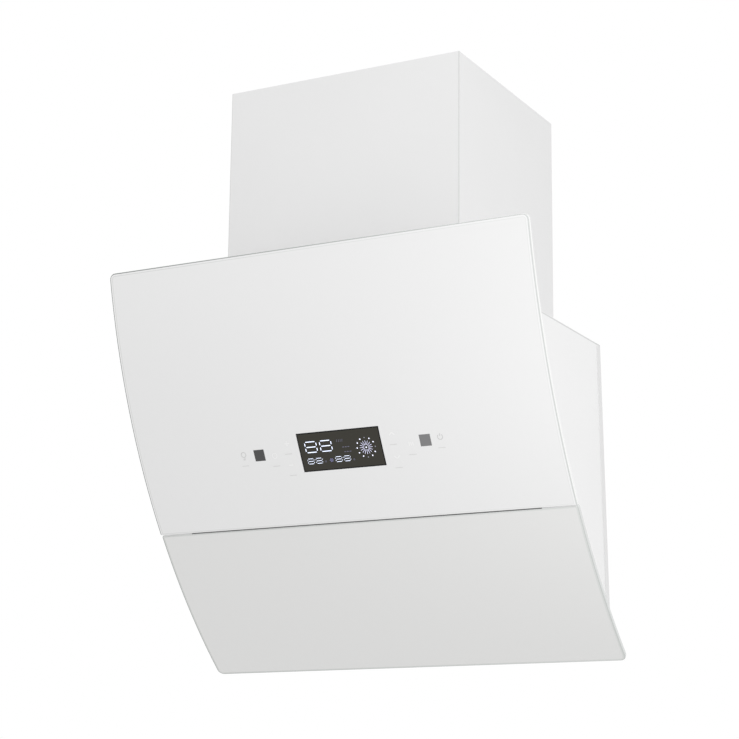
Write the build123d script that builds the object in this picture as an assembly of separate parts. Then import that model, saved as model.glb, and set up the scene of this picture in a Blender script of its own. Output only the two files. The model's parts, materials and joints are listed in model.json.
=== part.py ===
from build123d import *
from math import atan2, cos, degrees, hypot, radians, sin, sqrt
import os

# Curved glass wall hood, in millimetres.
# X to the right seen from the room, Y into the wall, Z up. The wall is the plane Y = 0, and the origin is
# the centre of the four wall screw holes in the back panel.

# ---------------------------------------------------------------- driving dimensions
sheet = 1.0                     # steel sheet of the housing and the chimney
touch_gap = 0.3                 # air between neighbours that nearly touch
running = 0.05                  # radial play of a pin or spindle in its hole
past = 1.0                      # how far a hole or a joined piece runs beyond a face
near = 0.01                     # two lengths closer than this are the same

screw_radius = 2.0
screw_reach = 4.0               # screw tip beyond the sheet it holds
screw_head_radius = 3.5
screw_head = 2.0

body_height = 402.0             # housing, flat top to flat bottom
body_top_width = 473.0
body_flare = 8.7                # each side stands out this much more at the bottom
suction_gap = 30.0              # air gap between the glass and the housing front
flange = 14.0                   # folded edge of a sheet
back_flange = 11.0              # back panel's edge, folded round the outside of the side panels

glass_width = 600.0
glass_height = 500.0
glass_bottom_y = -88.0          # lower edge of the glass, from the wall
glass_lean = 293.4              # how far the top edge stands in front of the lower edge
glass_radius = 923.6            # front face
glass_thickness = 6.0
glass_drop = 30.0               # lower edge of the glass below the housing
glass_corner = 8.0
glass_inner_corner = 2.0
glass_edge_round = 1.2
flap_arc = 229.0                # the flap's height measured along the curve
split_gap = 1.5
split_mitre = 1.8               # lower edge of the upper glass rises this much to its back, clear of the flap
flap_set_back = 2.0
seal_margin = 48.0              # the dark seal stops short of each side of the glass
seal_thickness = 0.8
carrier_sheet = 1.2
carrier_margin = 18.0           # carrier inside the edge of the glass
carrier_flange = 9.0
split_cover = 1.0               # the flap's carrier runs on past its glass, behind the split

pivot_depth = 14.0              # flap hinge axis behind the flap's front face
pivot_drop = 24.0               # and below its top edge
pin_radius = 2.5
pin_head_radius = 4.5
hinge_clear = 12.0              # hinge bracket beside the filter tray
hinge_plate = 3.0
hinge_play = 0.5
lug_radius = 5.5
ear_radius = 6.2

chimney_width = 340.0
chimney_depth = 298.0
chimney_height = 326.0
inner_chimney_height = 318.0
chimney_play = 0.6
chimney_back_flange = 20.0
fold_radius = 1.6               # outside of the folds down the front of the covers

wall_hole_radius = 4.25
wall_hole_spacing_x = 400.0
wall_hole_spacing_z = 300.0

filter_width = 424.0
filter_length = 170.0
filter_thickness = 9.0
filter_play = 1.0
filter_ledge = 10.0
rim_width = 12.0
mesh_thickness = 1.0
mesh_pitch = 22.0
mesh_hole = 14.6
mesh_hole_round = 2.0

blower_y = -130.0               # shaft axis
blower_z = 75.0
impeller_radius = 78.0
impeller_half_width = 52.0
blade_count = 32
blade_depth = 13.0
blade_thickness = 1.2
scroll_start = 88.0             # scroll radius at the tongue
scroll_step = 11.0              # growth of the scroll in each quarter turn
scroll_half_width = 62.5
plastic = 2.5
inlet_radius = 62.0

motor_radius = 42.0
motor_start = 10.0
shield_depth = 14.0
shield_wall = 2.5
core_length = 28.0
core_bore = 25.0
rotor_gap = 0.4
shaft_radius = 4.0
bearing_radius = 11.0
bearing_width = 7.0
arm_count = 3
arm_width = 12.0
arm_sheet = 3.0
bush_radius = 5.0
arm_reach = 70.0

spigot_radius = 74.5            # outside, for a 150 mm duct
spigot_wall = 2.5
spigot_height = 60.0
collar_base = 190.0
collar_base_height = 3.0
valve_height = 20.0             # spindles above the top panel
valve_plate = 1.5
valve_offset = 4.5
spindle_radius = 1.5

display_width = 117.0
display_height = 51.0
display_x = 2.0
display_arc = 329.0             # centre of the window, along the curve from the lower edge
sensor_x = (-115.4, 120.4)
sensor_size = 15.0
touch_points = (                # X and height of each touch pad from the middle of the display
    (-140.0, 3.0), (-94.0, 0.0), (-73.0, 14.0), (-73.0, -15.0),
    (77.5, 14.0), (78.0, -16.0), (101.0, -1.0), (142.0, 4.0),
)
pad_radius = 4.0

lamp_x = 140.0
lamp_radius = 24.0
cup_width = 96.0
cup_depth = 46.0
cup_height = 18.0

# ---------------------------------------------------------------- derived places
body_top = body_height / 2
body_bottom = -body_height / 2
glass_bottom = body_bottom - glass_drop
flare_slope = body_flare / body_height

chord = hypot(glass_lean, glass_height)
chord_rise = sqrt(glass_radius ** 2 - (chord / 2) ** 2)
centre_y = glass_bottom_y - glass_lean / 2 + chord_rise * glass_height / chord
centre_z = glass_bottom + glass_height / 2 + chord_rise * glass_lean / chord


def polar_angle(y, z):
    """Angle of a point about the axis of the glass curve."""
    return degrees(atan2(z - centre_z, y - centre_y)) % 360


def arc_degrees(length):
    """Angle that a length along the front of the glass covers."""
    return degrees(length / glass_radius)


def on_arc(radius, angle):
    """Side view point (Y, Z) on a circle about the axis of the glass curve."""
    return (centre_y + radius * cos(radians(angle)), centre_z + radius * sin(radians(angle)))


angle_bottom = polar_angle(glass_bottom_y, glass_bottom)
angle_top = polar_angle(glass_bottom_y - glass_lean, glass_bottom + glass_height)
angle_flap_top = angle_bottom - arc_degrees(flap_arc)
angle_upper_bottom = angle_flap_top - arc_degrees(split_gap)
flap_radius = glass_radius - flap_set_back
angle_flap_bottom = polar_angle(centre_y - sqrt(flap_radius ** 2 - (glass_bottom - centre_z) ** 2), glass_bottom)
body_radius = glass_radius - glass_thickness - suction_gap
filter_top = on_arc(body_radius, angle_flap_top)
filter_bottom_y = centre_y - sqrt(body_radius ** 2 - (body_bottom - centre_z) ** 2)
body_front_top_y = centre_y - sqrt(body_radius ** 2 - (body_top - centre_z) ** 2)


def arc_face(outer_radius, inner_radius, low_angle, high_angle, mitre=0.0):
    """Face between two arcs about the axis of the glass curve, in the side view.

    The low end slopes up towards the inner arc by a mitre, in degrees.
    """
    middle = (low_angle + high_angle) / 2
    inner_low = low_angle - mitre
    edges = [
        ThreePointArc(*[on_arc(outer_radius, a) for a in (low_angle, middle, high_angle)]),
        Line(on_arc(outer_radius, high_angle), on_arc(inner_radius, high_angle)),
        ThreePointArc(*[on_arc(inner_radius, a) for a in (high_angle, middle, inner_low)]),
        Line(on_arc(inner_radius, inner_low), on_arc(outer_radius, low_angle)),
    ]
    return Plane.YZ * make_face(edges)


def across(face, x_low, x_high):
    """Extrude a side view face from x_low to x_high."""
    return Pos(x_low, 0, 0) * extrude(face, x_high - x_low, dir=(1, 0, 0))


def curved_sheet(outer_radius, thickness, low_angle, high_angle, half_width, mitre=0.0):
    """Sheet that follows the glass curve, symmetrical about X = 0."""
    face = arc_face(outer_radius, outer_radius - thickness, low_angle, high_angle, mitre)
    return across(face, -half_width, half_width)


def box(x_range, y_range, z_range):
    """Box from three (low, high) ranges."""
    size = [high - low for low, high in (x_range, y_range, z_range)]
    middle = [(high + low) / 2 for low, high in (x_range, y_range, z_range)]
    return Pos(*middle) * Box(*size)


def rod(radius, start, end):
    """Round bar between two points."""
    axis = Vector(*end) - Vector(*start)
    plane = Plane(origin=start, z_dir=axis.normalized())
    return plane * Cylinder(radius, axis.length, align=(Align.CENTER, Align.CENTER, Align.MIN))


def mirrored(part):
    """The same piece on the other side of the middle plane."""
    return mirror(part, about=Plane.YZ)


def save(name, part):
    """Write one sub-part, as one solid or as a group of separate solids."""
    solids = part.solids()
    shape = solids[0] if len(solids) == 1 else Compound(children=list(solids))
    shape.label = name
    export_step(shape, f"parts/{name}.step")


def local_frame(radius, angle, x=0.0):
    """Frame on the glass curve: x outwards, y down the slope, z along +X."""
    y, z = on_arc(radius, angle)
    outward = (0, cos(radians(angle)), sin(radians(angle)))
    return Plane(origin=(x, y, z), x_dir=outward, z_dir=(1, 0, 0))


def skin_frame(radius, angle, x=0.0):
    """Frame on the glass curve: x along +X, y up the slope, z outwards."""
    y, z = on_arc(radius, angle)
    outward = (0, cos(radians(angle)), sin(radians(angle)))
    return Plane(origin=(x, y, z), x_dir=(1, 0, 0), z_dir=outward)


# flat lower front of the housing, which holds the filter
filter_slope = hypot(filter_top[0] - filter_bottom_y, filter_top[1] - body_bottom)
filter_up = ((filter_top[0] - filter_bottom_y) / filter_slope, (filter_top[1] - body_bottom) / filter_slope)
filter_frame_plane = Plane(
    origin=(0, (filter_top[0] + filter_bottom_y) / 2, (filter_top[1] + body_bottom) / 2),
    x_dir=(1, 0, 0),
    z_dir=(0, -filter_up[1], filter_up[0]),
)


def half_width(z):
    """Outside half width of the housing at height z."""
    return body_top_width / 2 + (body_top - z) * flare_slope


def side_slab(offset, thickness, y_low, y_high, z_low, z_high):
    """Slanting slab inside the right side of the housing, offset inwards from its outer face."""
    outline = [
        (half_width(z_high) - offset - thickness, z_high),
        (half_width(z_high) - offset, z_high),
        (half_width(z_low) - offset, z_low),
        (half_width(z_low) - offset - thickness, z_low),
    ]
    face = Plane.XZ * make_face(Polyline(*outline, close=True))
    return Pos(0, y_high, 0) * extrude(face, y_high - y_low, dir=(0, -1, 0))


def between_sides(offset, y_low, y_high, z_low, z_high):
    """Block as wide as the housing less an offset on each side."""
    outline = [
        (-half_width(z_high) + offset, z_high),
        (half_width(z_high) - offset, z_high),
        (half_width(z_low) - offset, z_low),
        (-half_width(z_low) + offset, z_low),
    ]
    face = Plane.XZ * make_face(Polyline(*outline, close=True))
    return Pos(0, y_high, 0) * extrude(face, y_high - y_low, dir=(0, -1, 0))


os.makedirs("parts", exist_ok=True)

# ---------------------------------------------------------------- housing
angle_body_top = polar_angle(body_front_top_y, body_top)
side_outline = Plane.YZ * make_face([
    Line((0, body_bottom), (0, body_top)),
    Line((0, body_top), (body_front_top_y, body_top)),
    ThreePointArc(
        (body_front_top_y, body_top),
        on_arc(body_radius, (angle_body_top + angle_flap_top) / 2),
        filter_top,
    ),
    Line(filter_top, (filter_bottom_y, body_bottom)),
    Line((filter_bottom_y, body_bottom), (0, body_bottom)),
])
body_prism = across(side_outline, -glass_width / 2, glass_width / 2)
inner_low = body_bottom + sheet
inner_high = body_top - sheet
far_front = body_front_top_y - suction_gap

# side panels
side_panel = side_slab(0, sheet, far_front, -sheet, inner_low, inner_high) & body_prism
save("side_panel_right", side_panel)
save("side_panel_left", mirrored(side_panel))

# back panel, with the wall screw holes and an edge folded round each side panel
back_panel = between_sides(-sheet, -sheet, 0, inner_low, inner_high)
back_fold = side_slab(-sheet, sheet, -back_flange, 0, inner_low, inner_high)
back_panel += back_fold + mirrored(back_fold)
for x in (-wall_hole_spacing_x / 2, wall_hole_spacing_x / 2):
    for z in (-wall_hole_spacing_z / 2, wall_hole_spacing_z / 2):
        back_panel -= rod(wall_hole_radius, (x, -flange, z), (x, flange, z))
save("back_panel", back_panel)

# top panel, with the blower outlet, the cable hole and the screw holes
outlet_front = blower_y - scroll_start - 3 * scroll_step
outlet_y = (outlet_front + blower_y) / 2
outlet_half_width = scroll_half_width - plastic
cable_x, cable_y, cable_hole_radius = -140.0, -60.0, 8.0
collar_screw_inset = 8.0
collar_screw_offset = collar_base / 2 - collar_screw_inset
chimney_foot = 15.0
chimney_foot_short = 6.0
chimney_screw_shift = 2.0
chimney_screw_x = chimney_width / 2 - sheet - chimney_foot / 2 - chimney_screw_shift
chimney_screw_y = (-60.0, -240.0)
collar_screw_places = [
    (x, outlet_y + y)
    for x in (-collar_screw_offset, collar_screw_offset)
    for y in (-collar_screw_offset, collar_screw_offset)
]
chimney_screw_places = [(x, y) for x in (-chimney_screw_x, chimney_screw_x) for y in chimney_screw_y]
top_panel = between_sides(0, far_front, 0, inner_high, body_top) & body_prism
top_fold = side_slab(sheet, sheet, body_front_top_y + flange, -2 * flange, body_top - flange, inner_high)
top_panel += top_fold + mirrored(top_fold)
top_panel -= box(
    (-outlet_half_width, outlet_half_width), (outlet_front, blower_y), (inner_high - sheet, body_top + sheet)
)
top_panel -= rod(cable_hole_radius, (cable_x, cable_y, inner_high - past), (cable_x, cable_y, body_top + past))
for x, y in collar_screw_places + chimney_screw_places:
    top_panel -= rod(screw_radius + running, (x, y, inner_high - past), (x, y, body_top + past))
save("top_panel", top_panel)

# bottom panel, with the lamp holes, the grease drain and the slots for the cup's hooks
lamp_y = filter_bottom_y / 2
cup_y = lamp_y
hook_width, hook_sheet, hook_play = 14.0, 2.0, 0.3
drain_length, drain_width = 40.0, 12.0
hook_x = cup_width / 2 - hook_sheet / 2
bottom_panel = between_sides(0, far_front, 0, body_bottom, inner_low) & body_prism
bottom_fold = side_slab(
    sheet, sheet, filter_bottom_y + 2 * flange, -flange - past, inner_low, body_bottom + flange
)
bottom_panel += bottom_fold + mirrored(bottom_fold)
for x in (-lamp_x, lamp_x):
    bottom_panel -= rod(lamp_radius + touch_gap, (x, lamp_y, body_bottom - past), (x, lamp_y, inner_low + past))
for x in (-hook_x, hook_x):
    slot_x = hook_sheet / 2 + hook_play
    slot_y = hook_width / 2 + hook_play
    bottom_panel -= box(
        (x - slot_x, x + slot_x), (cup_y - slot_y, cup_y + slot_y), (body_bottom - past, inner_low + past)
    )
bottom_panel -= box(
    (-drain_length / 2, drain_length / 2), (cup_y - drain_width / 2, cup_y + drain_width / 2),
    (body_bottom - past, inner_low + past),
)
save("bottom_panel", bottom_panel)

# curved upper front of the housing
front_room = between_sides(sheet, far_front, 0, inner_low, inner_high)
front_panel = curved_sheet(body_radius, sheet, angle_flap_top, angle_top, glass_width / 2) & front_room
save("front_panel", front_panel)

# flat lower front: a tray for the filter, with a ledge behind it and a slot for its latch
seat_x = filter_width / 2 + filter_play
seat_y = filter_length / 2 + filter_play
seat_depth = filter_thickness + touch_gap
latch_width, latch_sheet, latch_travel, latch_depth = 30.0, 2.0, 6.0, 4.0
plate = filter_frame_plane * box(
    (-glass_width / 2, glass_width / 2), (-filter_slope / 2, filter_slope / 2), (-sheet, 0)
)
tray_outer = filter_frame_plane * box(
    (-seat_x - sheet, seat_x + sheet), (-seat_y - sheet, seat_y + sheet), (-seat_depth - sheet, 0)
)
tray_inner = filter_frame_plane * box((-seat_x, seat_x), (-seat_y, seat_y), (-seat_depth, past))
tray_window = filter_frame_plane * box(
    (-seat_x + filter_ledge, seat_x - filter_ledge),
    (-seat_y + filter_ledge, seat_y - filter_ledge),
    (-seat_depth - 2 * sheet, past),
)
latch_slot = filter_frame_plane * box(
    (-latch_width / 2 - filter_play, latch_width / 2 + filter_play),
    (seat_y - past, seat_y + sheet + past),
    (-latch_depth - latch_sheet - touch_gap, -latch_depth + touch_gap),
)
filter_frame = (plate & front_room) + tray_outer - tray_inner - tray_window - latch_slot - front_panel
save("filter_frame", filter_frame)

# ---------------------------------------------------------------- curved glass and what carries it
def corner_edges(panel):
    """Edges that run through the glass at its side ends."""
    return [
        edge for edge in panel.edges()
        if edge.length < 2 * glass_thickness and abs(edge.center().X) > glass_width / 2 - near
    ]


def glass_panel(radius, low_angle, high_angle, low_corner, high_corner, mitre=0.0):
    """Curved glass panel with rounded corners and a ground edge."""
    panel = curved_sheet(radius, glass_thickness, low_angle, high_angle, glass_width / 2, mitre)
    for upper, corner in ((False, low_corner), (True, high_corner)):
        edges = [edge for edge in corner_edges(panel) if (edge.center().Z > panel.center().Z) == upper]
        panel = fillet(edges, corner)
    broad = sorted(panel.faces(), key=lambda face: face.area)[-2:]
    return fillet([edge for face in broad for edge in face.edges()], glass_edge_round)


upper_glass = glass_panel(
    glass_radius, angle_upper_bottom, angle_top, glass_inner_corner, glass_corner, arc_degrees(split_mitre)
)
save("upper_glass", upper_glass)
lower_glass = glass_panel(
    flap_radius, angle_flap_bottom, angle_flap_top, glass_corner, glass_inner_corner
)
save("lower_glass", lower_glass)


def carrier(glass_back, low_angle, high_angle):
    """Curved steel sheet bonded behind a glass panel, its two sides folded back."""
    back_radius = glass_back - touch_gap
    margin = arc_degrees(carrier_margin)
    half = glass_width / 2 - carrier_margin
    low, high = low_angle - margin, high_angle + margin
    skin = curved_sheet(back_radius, carrier_sheet, low, high, half)
    fold = across(arc_face(back_radius, back_radius - carrier_flange, low, high), half - carrier_sheet, half)
    return skin + fold + mirrored(fold)


upper_back = glass_radius - glass_thickness
flap_back = flap_radius - glass_thickness
display_angle = angle_bottom - arc_degrees(display_arc)
holder_height, holder_depth, holder_wall, pad_clear = 64.0, 8.0, 2.5, 2.5
holder_width = 2 * (max(abs(x) for x, y in touch_points) + pad_radius + pad_clear + holder_wall)
holder_lip = 8.0
holder_plane = skin_frame(sqrt(upper_back ** 2 - (holder_height / 2) ** 2) - touch_gap, display_angle)
window_x = holder_width / 2 + filter_play
window_y = holder_height / 2 + filter_play
upper_carrier = carrier(upper_back, angle_upper_bottom, angle_top)
upper_carrier -= holder_plane * box(
    (-window_x, window_x), (-window_y, window_y), (-holder_depth, holder_depth)
)
save("upper_carrier", upper_carrier)

# rails that carry the upper glass in front of the housing
rail_x = glass_width / 3
rail_sheet, rail_foot, rail_short, rail_rise = 1.5, 15.0, 10.0, 5.0
rail_low = angle_upper_bottom - arc_degrees(carrier_margin + rail_short)
rail_high = angle_body_top + arc_degrees(rail_rise)
rail_outer = upper_back - touch_gap - carrier_sheet
rail = across(arc_face(rail_outer, body_radius, rail_low, rail_high), rail_x - rail_sheet, rail_x)
rail += across(
    arc_face(rail_outer, rail_outer - rail_sheet, rail_low, rail_high), rail_x - rail_sheet, rail_x + rail_foot
)
rail += across(
    arc_face(body_radius + rail_sheet, body_radius, rail_low, rail_high), rail_x - rail_foot, rail_x
)
save("glass_rail_right", rail)
save("glass_rail_left", mirrored(rail))

# holder, board, display, sensors and touch pads behind the upper glass
board_depth = 6.0
board_sheet = 1.6
window_gap = 0.2
display_edge = 1.5
holder = box(
    (-holder_width / 2, holder_width / 2), (-holder_height / 2, holder_height / 2), (-holder_depth, 0)
)
lip_front = -carrier_sheet - 2 * touch_gap
holder += box(
    (-holder_width / 2 - holder_lip, holder_width / 2 + holder_lip),
    (-holder_height / 2 - holder_lip, holder_height / 2 + holder_lip),
    (-holder_depth, lip_front),
)
holder -= box(
    (-holder_width / 2 + holder_wall, holder_width / 2 - holder_wall),
    (-holder_height / 2 + holder_wall, holder_height / 2 - holder_wall),
    (-holder_depth - past, 1),
)
save("display_holder", holder_plane * holder)
board_x = holder_width / 2 - holder_wall - touch_gap
board_y = holder_height / 2 - holder_wall - touch_gap
save("touch_board", holder_plane * box((-board_x, board_x), (-board_y, board_y), (-holder_depth, -board_depth)))
save("display_module", holder_plane * box(
    (display_x - display_width / 2 - display_edge, display_x + display_width / 2 + display_edge),
    (-display_height / 2 - display_edge, display_height / 2 + display_edge),
    (-board_depth, -window_gap),
))
sensors = Part()
for x in sensor_x:
    reach = sensor_size / 2
    sensors += holder_plane * box((x - reach, x + reach), (-reach, reach), (-board_depth, -window_gap))
save("sensors", sensors)
pads = Part()
for x, y in touch_points:
    pads += holder_plane * rod(pad_radius, (x, y, -board_depth), (x, y, -window_gap))
save("touch_pads", pads)

# ---------------------------------------------------------------- flap: glass on its carrier, hung on two pins
pivot_radius = flap_radius - pivot_depth
pivot_angle = angle_flap_top + degrees(pivot_drop / flap_radius)
pivot_y, pivot_z = on_arc(pivot_radius, pivot_angle)
hinge_x = seat_x + sheet + hinge_clear
ear_x = hinge_x + hinge_plate + hinge_play
ear_sheet = 2.0
to_back = flap_back - touch_gap - carrier_sheet / 2 - pivot_radius
ear_frame = local_frame(pivot_radius, pivot_angle, ear_x)
ear = ear_frame * (Rectangle(to_back, 2 * ear_radius, align=(Align.MIN, Align.CENTER)) + Circle(ear_radius))
ear = extrude(ear, ear_sheet, dir=(1, 0, 0))
ear -= rod(pin_radius + running, (ear_x - past, pivot_y, pivot_z), (ear_x + ear_sheet + past, pivot_y, pivot_z))
covered_top = angle_flap_top - arc_degrees(carrier_margin + split_cover)
save("flap_carrier", carrier(flap_back, angle_flap_bottom, covered_top) + ear + mirrored(ear))

seal_inset = 0.3
seal_face = arc_face(
    flap_radius - seal_inset, flap_back + seal_inset,
    angle_flap_top, angle_flap_top - arc_degrees(seal_thickness),
)
seal_reach = glass_width / 2 - seal_margin
save("flap_seal", across(seal_face, -seal_reach, seal_reach))


def in_filter_frame(y, z):
    """Distance up the slope and out of the lower front, for a side view point."""
    dy = y - (filter_top[0] + filter_bottom_y) / 2
    dz = z - (filter_top[1] + body_bottom) / 2
    return (dy * filter_up[0] + dz * filter_up[1], -dy * filter_up[1] + dz * filter_up[0])


pivot_up, pivot_out = in_filter_frame(pivot_y, pivot_z)
foot_reach, foot_sheet, foot_width = 11.0, 2.0, 14.0
bracket = filter_frame_plane * (
    box((hinge_x, hinge_x + foot_width), (pivot_up - foot_reach, pivot_up + foot_reach), (0, foot_sheet))
    + box((hinge_x, hinge_x + hinge_plate), (pivot_up - lug_radius, pivot_up + lug_radius), (0, pivot_out))
)
bracket += rod(lug_radius, (hinge_x, pivot_y, pivot_z), (hinge_x + hinge_plate, pivot_y, pivot_z))
bracket -= rod(pin_radius + running, (hinge_x - past, pivot_y, pivot_z), (ear_x, pivot_y, pivot_z))
save("hinge_bracket_right", bracket)
save("hinge_bracket_left", mirrored(bracket))

pin_head = 1.2
pin_start = hinge_x - touch_gap / 2
pin_end = ear_x + ear_sheet + touch_gap
pin = rod(pin_radius, (pin_start, pivot_y, pivot_z), (pin_end, pivot_y, pivot_z))
pin += rod(pin_head_radius, (pin_start - pin_head, pivot_y, pivot_z), (pin_start, pivot_y, pivot_z))
pin += rod(pin_head_radius, (pin_end, pivot_y, pivot_z), (pin_end + pin_head, pivot_y, pivot_z))
save("hinge_pins", pin + mirrored(pin))

catch_half, catch_plate_radius, catch_plate_sheet = 8.0, 7.5, 1.5
catch_x = seat_x + sheet + filter_play + catch_half
catch_rise = 27.0
catch_angle = polar_angle(filter_bottom_y, body_bottom) - arc_degrees(catch_rise)
catch_back = flap_back - touch_gap - carrier_sheet - running
catch_frame = skin_frame(catch_back, catch_angle, catch_x)
catch_plate = catch_frame * rod(catch_plate_radius, (0, 0, -catch_plate_sheet), (0, 0, 0))
save("catch_plates", catch_plate + mirrored(catch_plate))
catch_front = -catch_plate_sheet - touch_gap
magnet = catch_frame * box(
    (-catch_half, catch_half), (-catch_half, catch_half), (-2 * suction_gap, catch_front)
)
magnet -= filter_frame_plane * box((0, glass_width), (-filter_slope, filter_slope), (-3 * suction_gap, 0))
save("catch_magnets", magnet + mirrored(magnet))

# ---------------------------------------------------------------- chimney covers
def chimney_cover(half, depth, back, low, high, back_flange):
    """Folded cover, open at the back but for a narrow flange on each side."""
    cover = box((-half, half), (-depth, -back), (low, high))
    cover = fillet(cover.edges().filter_by(Axis.Z).group_by(Axis.Y)[0], fold_radius)
    cover -= box((-half + sheet, half - sheet), (-depth + sheet, -back - sheet), (low - past, high + past))
    opening = half - sheet - back_flange
    return cover - box((-opening, opening), (-back - 2 * sheet, past), (low - past, high + past))


def screw(x, y, head_low):
    """Upright screw through the top panel, its head resting at head_low."""
    shank = rod(screw_radius, (x, y, inner_high - screw_reach), (x, y, head_low))
    return shank + rod(screw_head_radius, (x, y, head_low), (x, y, head_low + screw_head))


outer_half = chimney_width / 2
chimney_top = body_top + chimney_height
outer_chimney = chimney_cover(outer_half, chimney_depth, 0, body_top, chimney_top, chimney_back_flange)
foot = box(
    (outer_half - sheet - chimney_foot, outer_half - sheet / 2),
    (-chimney_depth + sheet + chimney_foot_short, -chimney_back_flange),
    (body_top, body_top + sheet),
)
outer_chimney += foot + mirrored(foot)
for x, y in chimney_screw_places:
    outer_chimney -= rod(screw_radius + running, (x, y, body_top - past), (x, y, body_top + sheet + past))
save("outer_chimney", outer_chimney)
chimney_screws = Part()
for x, y in chimney_screw_places:
    chimney_screws += screw(x, y, body_top + sheet)
save("chimney_screws", chimney_screws)

inner_half = outer_half - sheet - chimney_play
inner_low_z = body_top + sheet + touch_gap
inner_top_z = inner_low_z + inner_chimney_height
inner_chimney = chimney_cover(
    inner_half, chimney_depth - sheet - chimney_play, sheet + chimney_play, inner_low_z, inner_top_z,
    chimney_back_flange - sheet,
)
vent_count, vent_pitch, vent_length, vent_height, vent_drop = 6, 12.0, 140.0, 4.0, 80.0
for row in range(vent_count):
    vent_z = inner_top_z - vent_drop - row * vent_pitch
    inner_chimney -= box(
        (-outer_half, outer_half),
        (-chimney_depth / 2 - vent_length / 2, -chimney_depth / 2 + vent_length / 2),
        (vent_z - vent_height / 2, vent_z + vent_height / 2),
    )
bracket_height, bracket_sheet, bracket_drop, tab_depth, tab_screw_y = 36.0, 1.5, 14.0, 30.0, -20.0
bracket_low = inner_top_z - bracket_drop - bracket_height
bracket_high = inner_top_z - bracket_drop
bracket_middle = (bracket_low + bracket_high) / 2
bracket_half = inner_half - sheet - touch_gap
bracket_back = -(2 * sheet + chimney_play + touch_gap)
for side in (-1, 1):
    inner_chimney -= rod(
        screw_radius + running,
        (side * (bracket_half - screw_reach), tab_screw_y, bracket_middle),
        (side * outer_half, tab_screw_y, bracket_middle),
    )
save("inner_chimney", inner_chimney)

bracket_foot_x, bracket_foot_half, bracket_hole_radius = 105.0, 20.0, 3.0
ceiling_bracket = box(
    (-bracket_half, bracket_half), (bracket_back - bracket_sheet, bracket_back), (bracket_low, bracket_high)
)
for side in (-1, 1):
    ends = sorted((side * (bracket_half - bracket_sheet), side * bracket_half))
    ceiling_bracket += box(ends, (bracket_back - tab_depth, bracket_back), (bracket_low, bracket_high))
    ends = sorted((side * bracket_foot_x - bracket_foot_half, side * bracket_foot_x + bracket_foot_half))
    ceiling_bracket += box(ends, (bracket_back, 0), (bracket_low, bracket_high))
    ceiling_bracket -= rod(
        bracket_hole_radius,
        (side * bracket_foot_x, -tab_depth, bracket_middle), (side * bracket_foot_x, past, bracket_middle),
    )
    ceiling_bracket -= rod(
        screw_radius + running,
        (side * (bracket_half - screw_reach), tab_screw_y, bracket_middle),
        (side * outer_half, tab_screw_y, bracket_middle),
    )
save("ceiling_bracket", ceiling_bracket)
bracket_screws = Part()
for side in (-1, 1):
    head_x = side * (bracket_half - bracket_sheet)
    bracket_screws += rod(
        screw_radius, (head_x, tab_screw_y, bracket_middle),
        (side * inner_half, tab_screw_y, bracket_middle),
    )
    bracket_screws += rod(
        screw_head_radius,
        (head_x - side * screw_head, tab_screw_y, bracket_middle), (head_x, tab_screw_y, bracket_middle),
    )
save("ceiling_bracket_screws", bracket_screws)

# ---------------------------------------------------------------- duct collar and its two valves
bore_radius = spigot_radius - spigot_wall
base_top = body_top + collar_base_height
spigot_top = base_top + spigot_height
valve_z = body_top + valve_height
valve_clear = 1.5
valve_radius = bore_radius - valve_clear
ledge_top = valve_z - valve_plate / 2 - touch_gap
ledge_height = 2.0
ledge_overlap = 1.5
spindle_reach = 1.8
spindle_end = bore_radius + spindle_reach
bar_half, bar_height = 2.0, 8.0


def at_outlet(radius, low, high):
    """Upright round bar on the axis of the duct."""
    return rod(radius, (0, outlet_y, low), (0, outlet_y, high))


collar = box(
    (-collar_base / 2, collar_base / 2),
    (outlet_y - collar_base / 2, outlet_y + collar_base / 2),
    (body_top, base_top),
)
collar += at_outlet(spigot_radius, base_top, spigot_top)
collar -= at_outlet(bore_radius, body_top - past, spigot_top + past)
collar += at_outlet(bore_radius + past, ledge_top - ledge_height, ledge_top) - at_outlet(
    valve_radius - ledge_overlap, ledge_top - ledge_height, ledge_top
)
collar += box(
    (-bore_radius - past, bore_radius + past),
    (outlet_y - bar_half, outlet_y + bar_half),
    (valve_z - bar_height / 2, valve_z + bar_height / 2),
)
for offset_y in (-valve_offset, valve_offset):
    spindle_y = outlet_y + offset_y
    collar -= rod(
        spindle_radius + running,
        (-spindle_end - running, spindle_y, valve_z), (spindle_end + running, spindle_y, valve_z),
    )
for x, y in collar_screw_places:
    collar -= rod(screw_radius + running, (x, y, body_top - past), (x, y, base_top + past))
save("duct_collar", collar)
collar_screws = Part()
for x, y in collar_screw_places:
    collar_screws += screw(x, y, base_top)
save("collar_screws", collar_screws)


def valve(side):
    """Half disc on a spindle; side is -1 for the front half and 1 for the back half."""
    spindle_y = outlet_y + side * valve_offset
    disc = at_outlet(valve_radius, valve_z - valve_plate / 2, valve_z + valve_plate / 2)
    y_range = sorted((spindle_y, outlet_y + side * spigot_radius))
    half = disc & box((-spigot_radius, spigot_radius), y_range, (body_top, spigot_top))
    return half + rod(spindle_radius, (-spindle_end, spindle_y, valve_z), (spindle_end, spindle_y, valve_z))


save("valve_front", valve(-1))
save("valve_back", valve(1))

# ---------------------------------------------------------------- blower scroll
def blower_point(y, z):
    """Side view point measured from the shaft axis."""
    return (blower_y + y, blower_z + z)


def blower_rod(radius, x_low, x_high, y=0.0, z=0.0):
    """Bar along X, placed from the shaft axis."""
    low = (x_low, blower_y + y, blower_z + z)
    return rod(radius, low, (x_high, blower_y + y, blower_z + z))


def blower_ring(outer, inner, x_low, x_high):
    """Ring round the shaft axis."""
    return blower_rod(outer, x_low, x_high) - blower_rod(inner, x_low - past, x_high + past)


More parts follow.
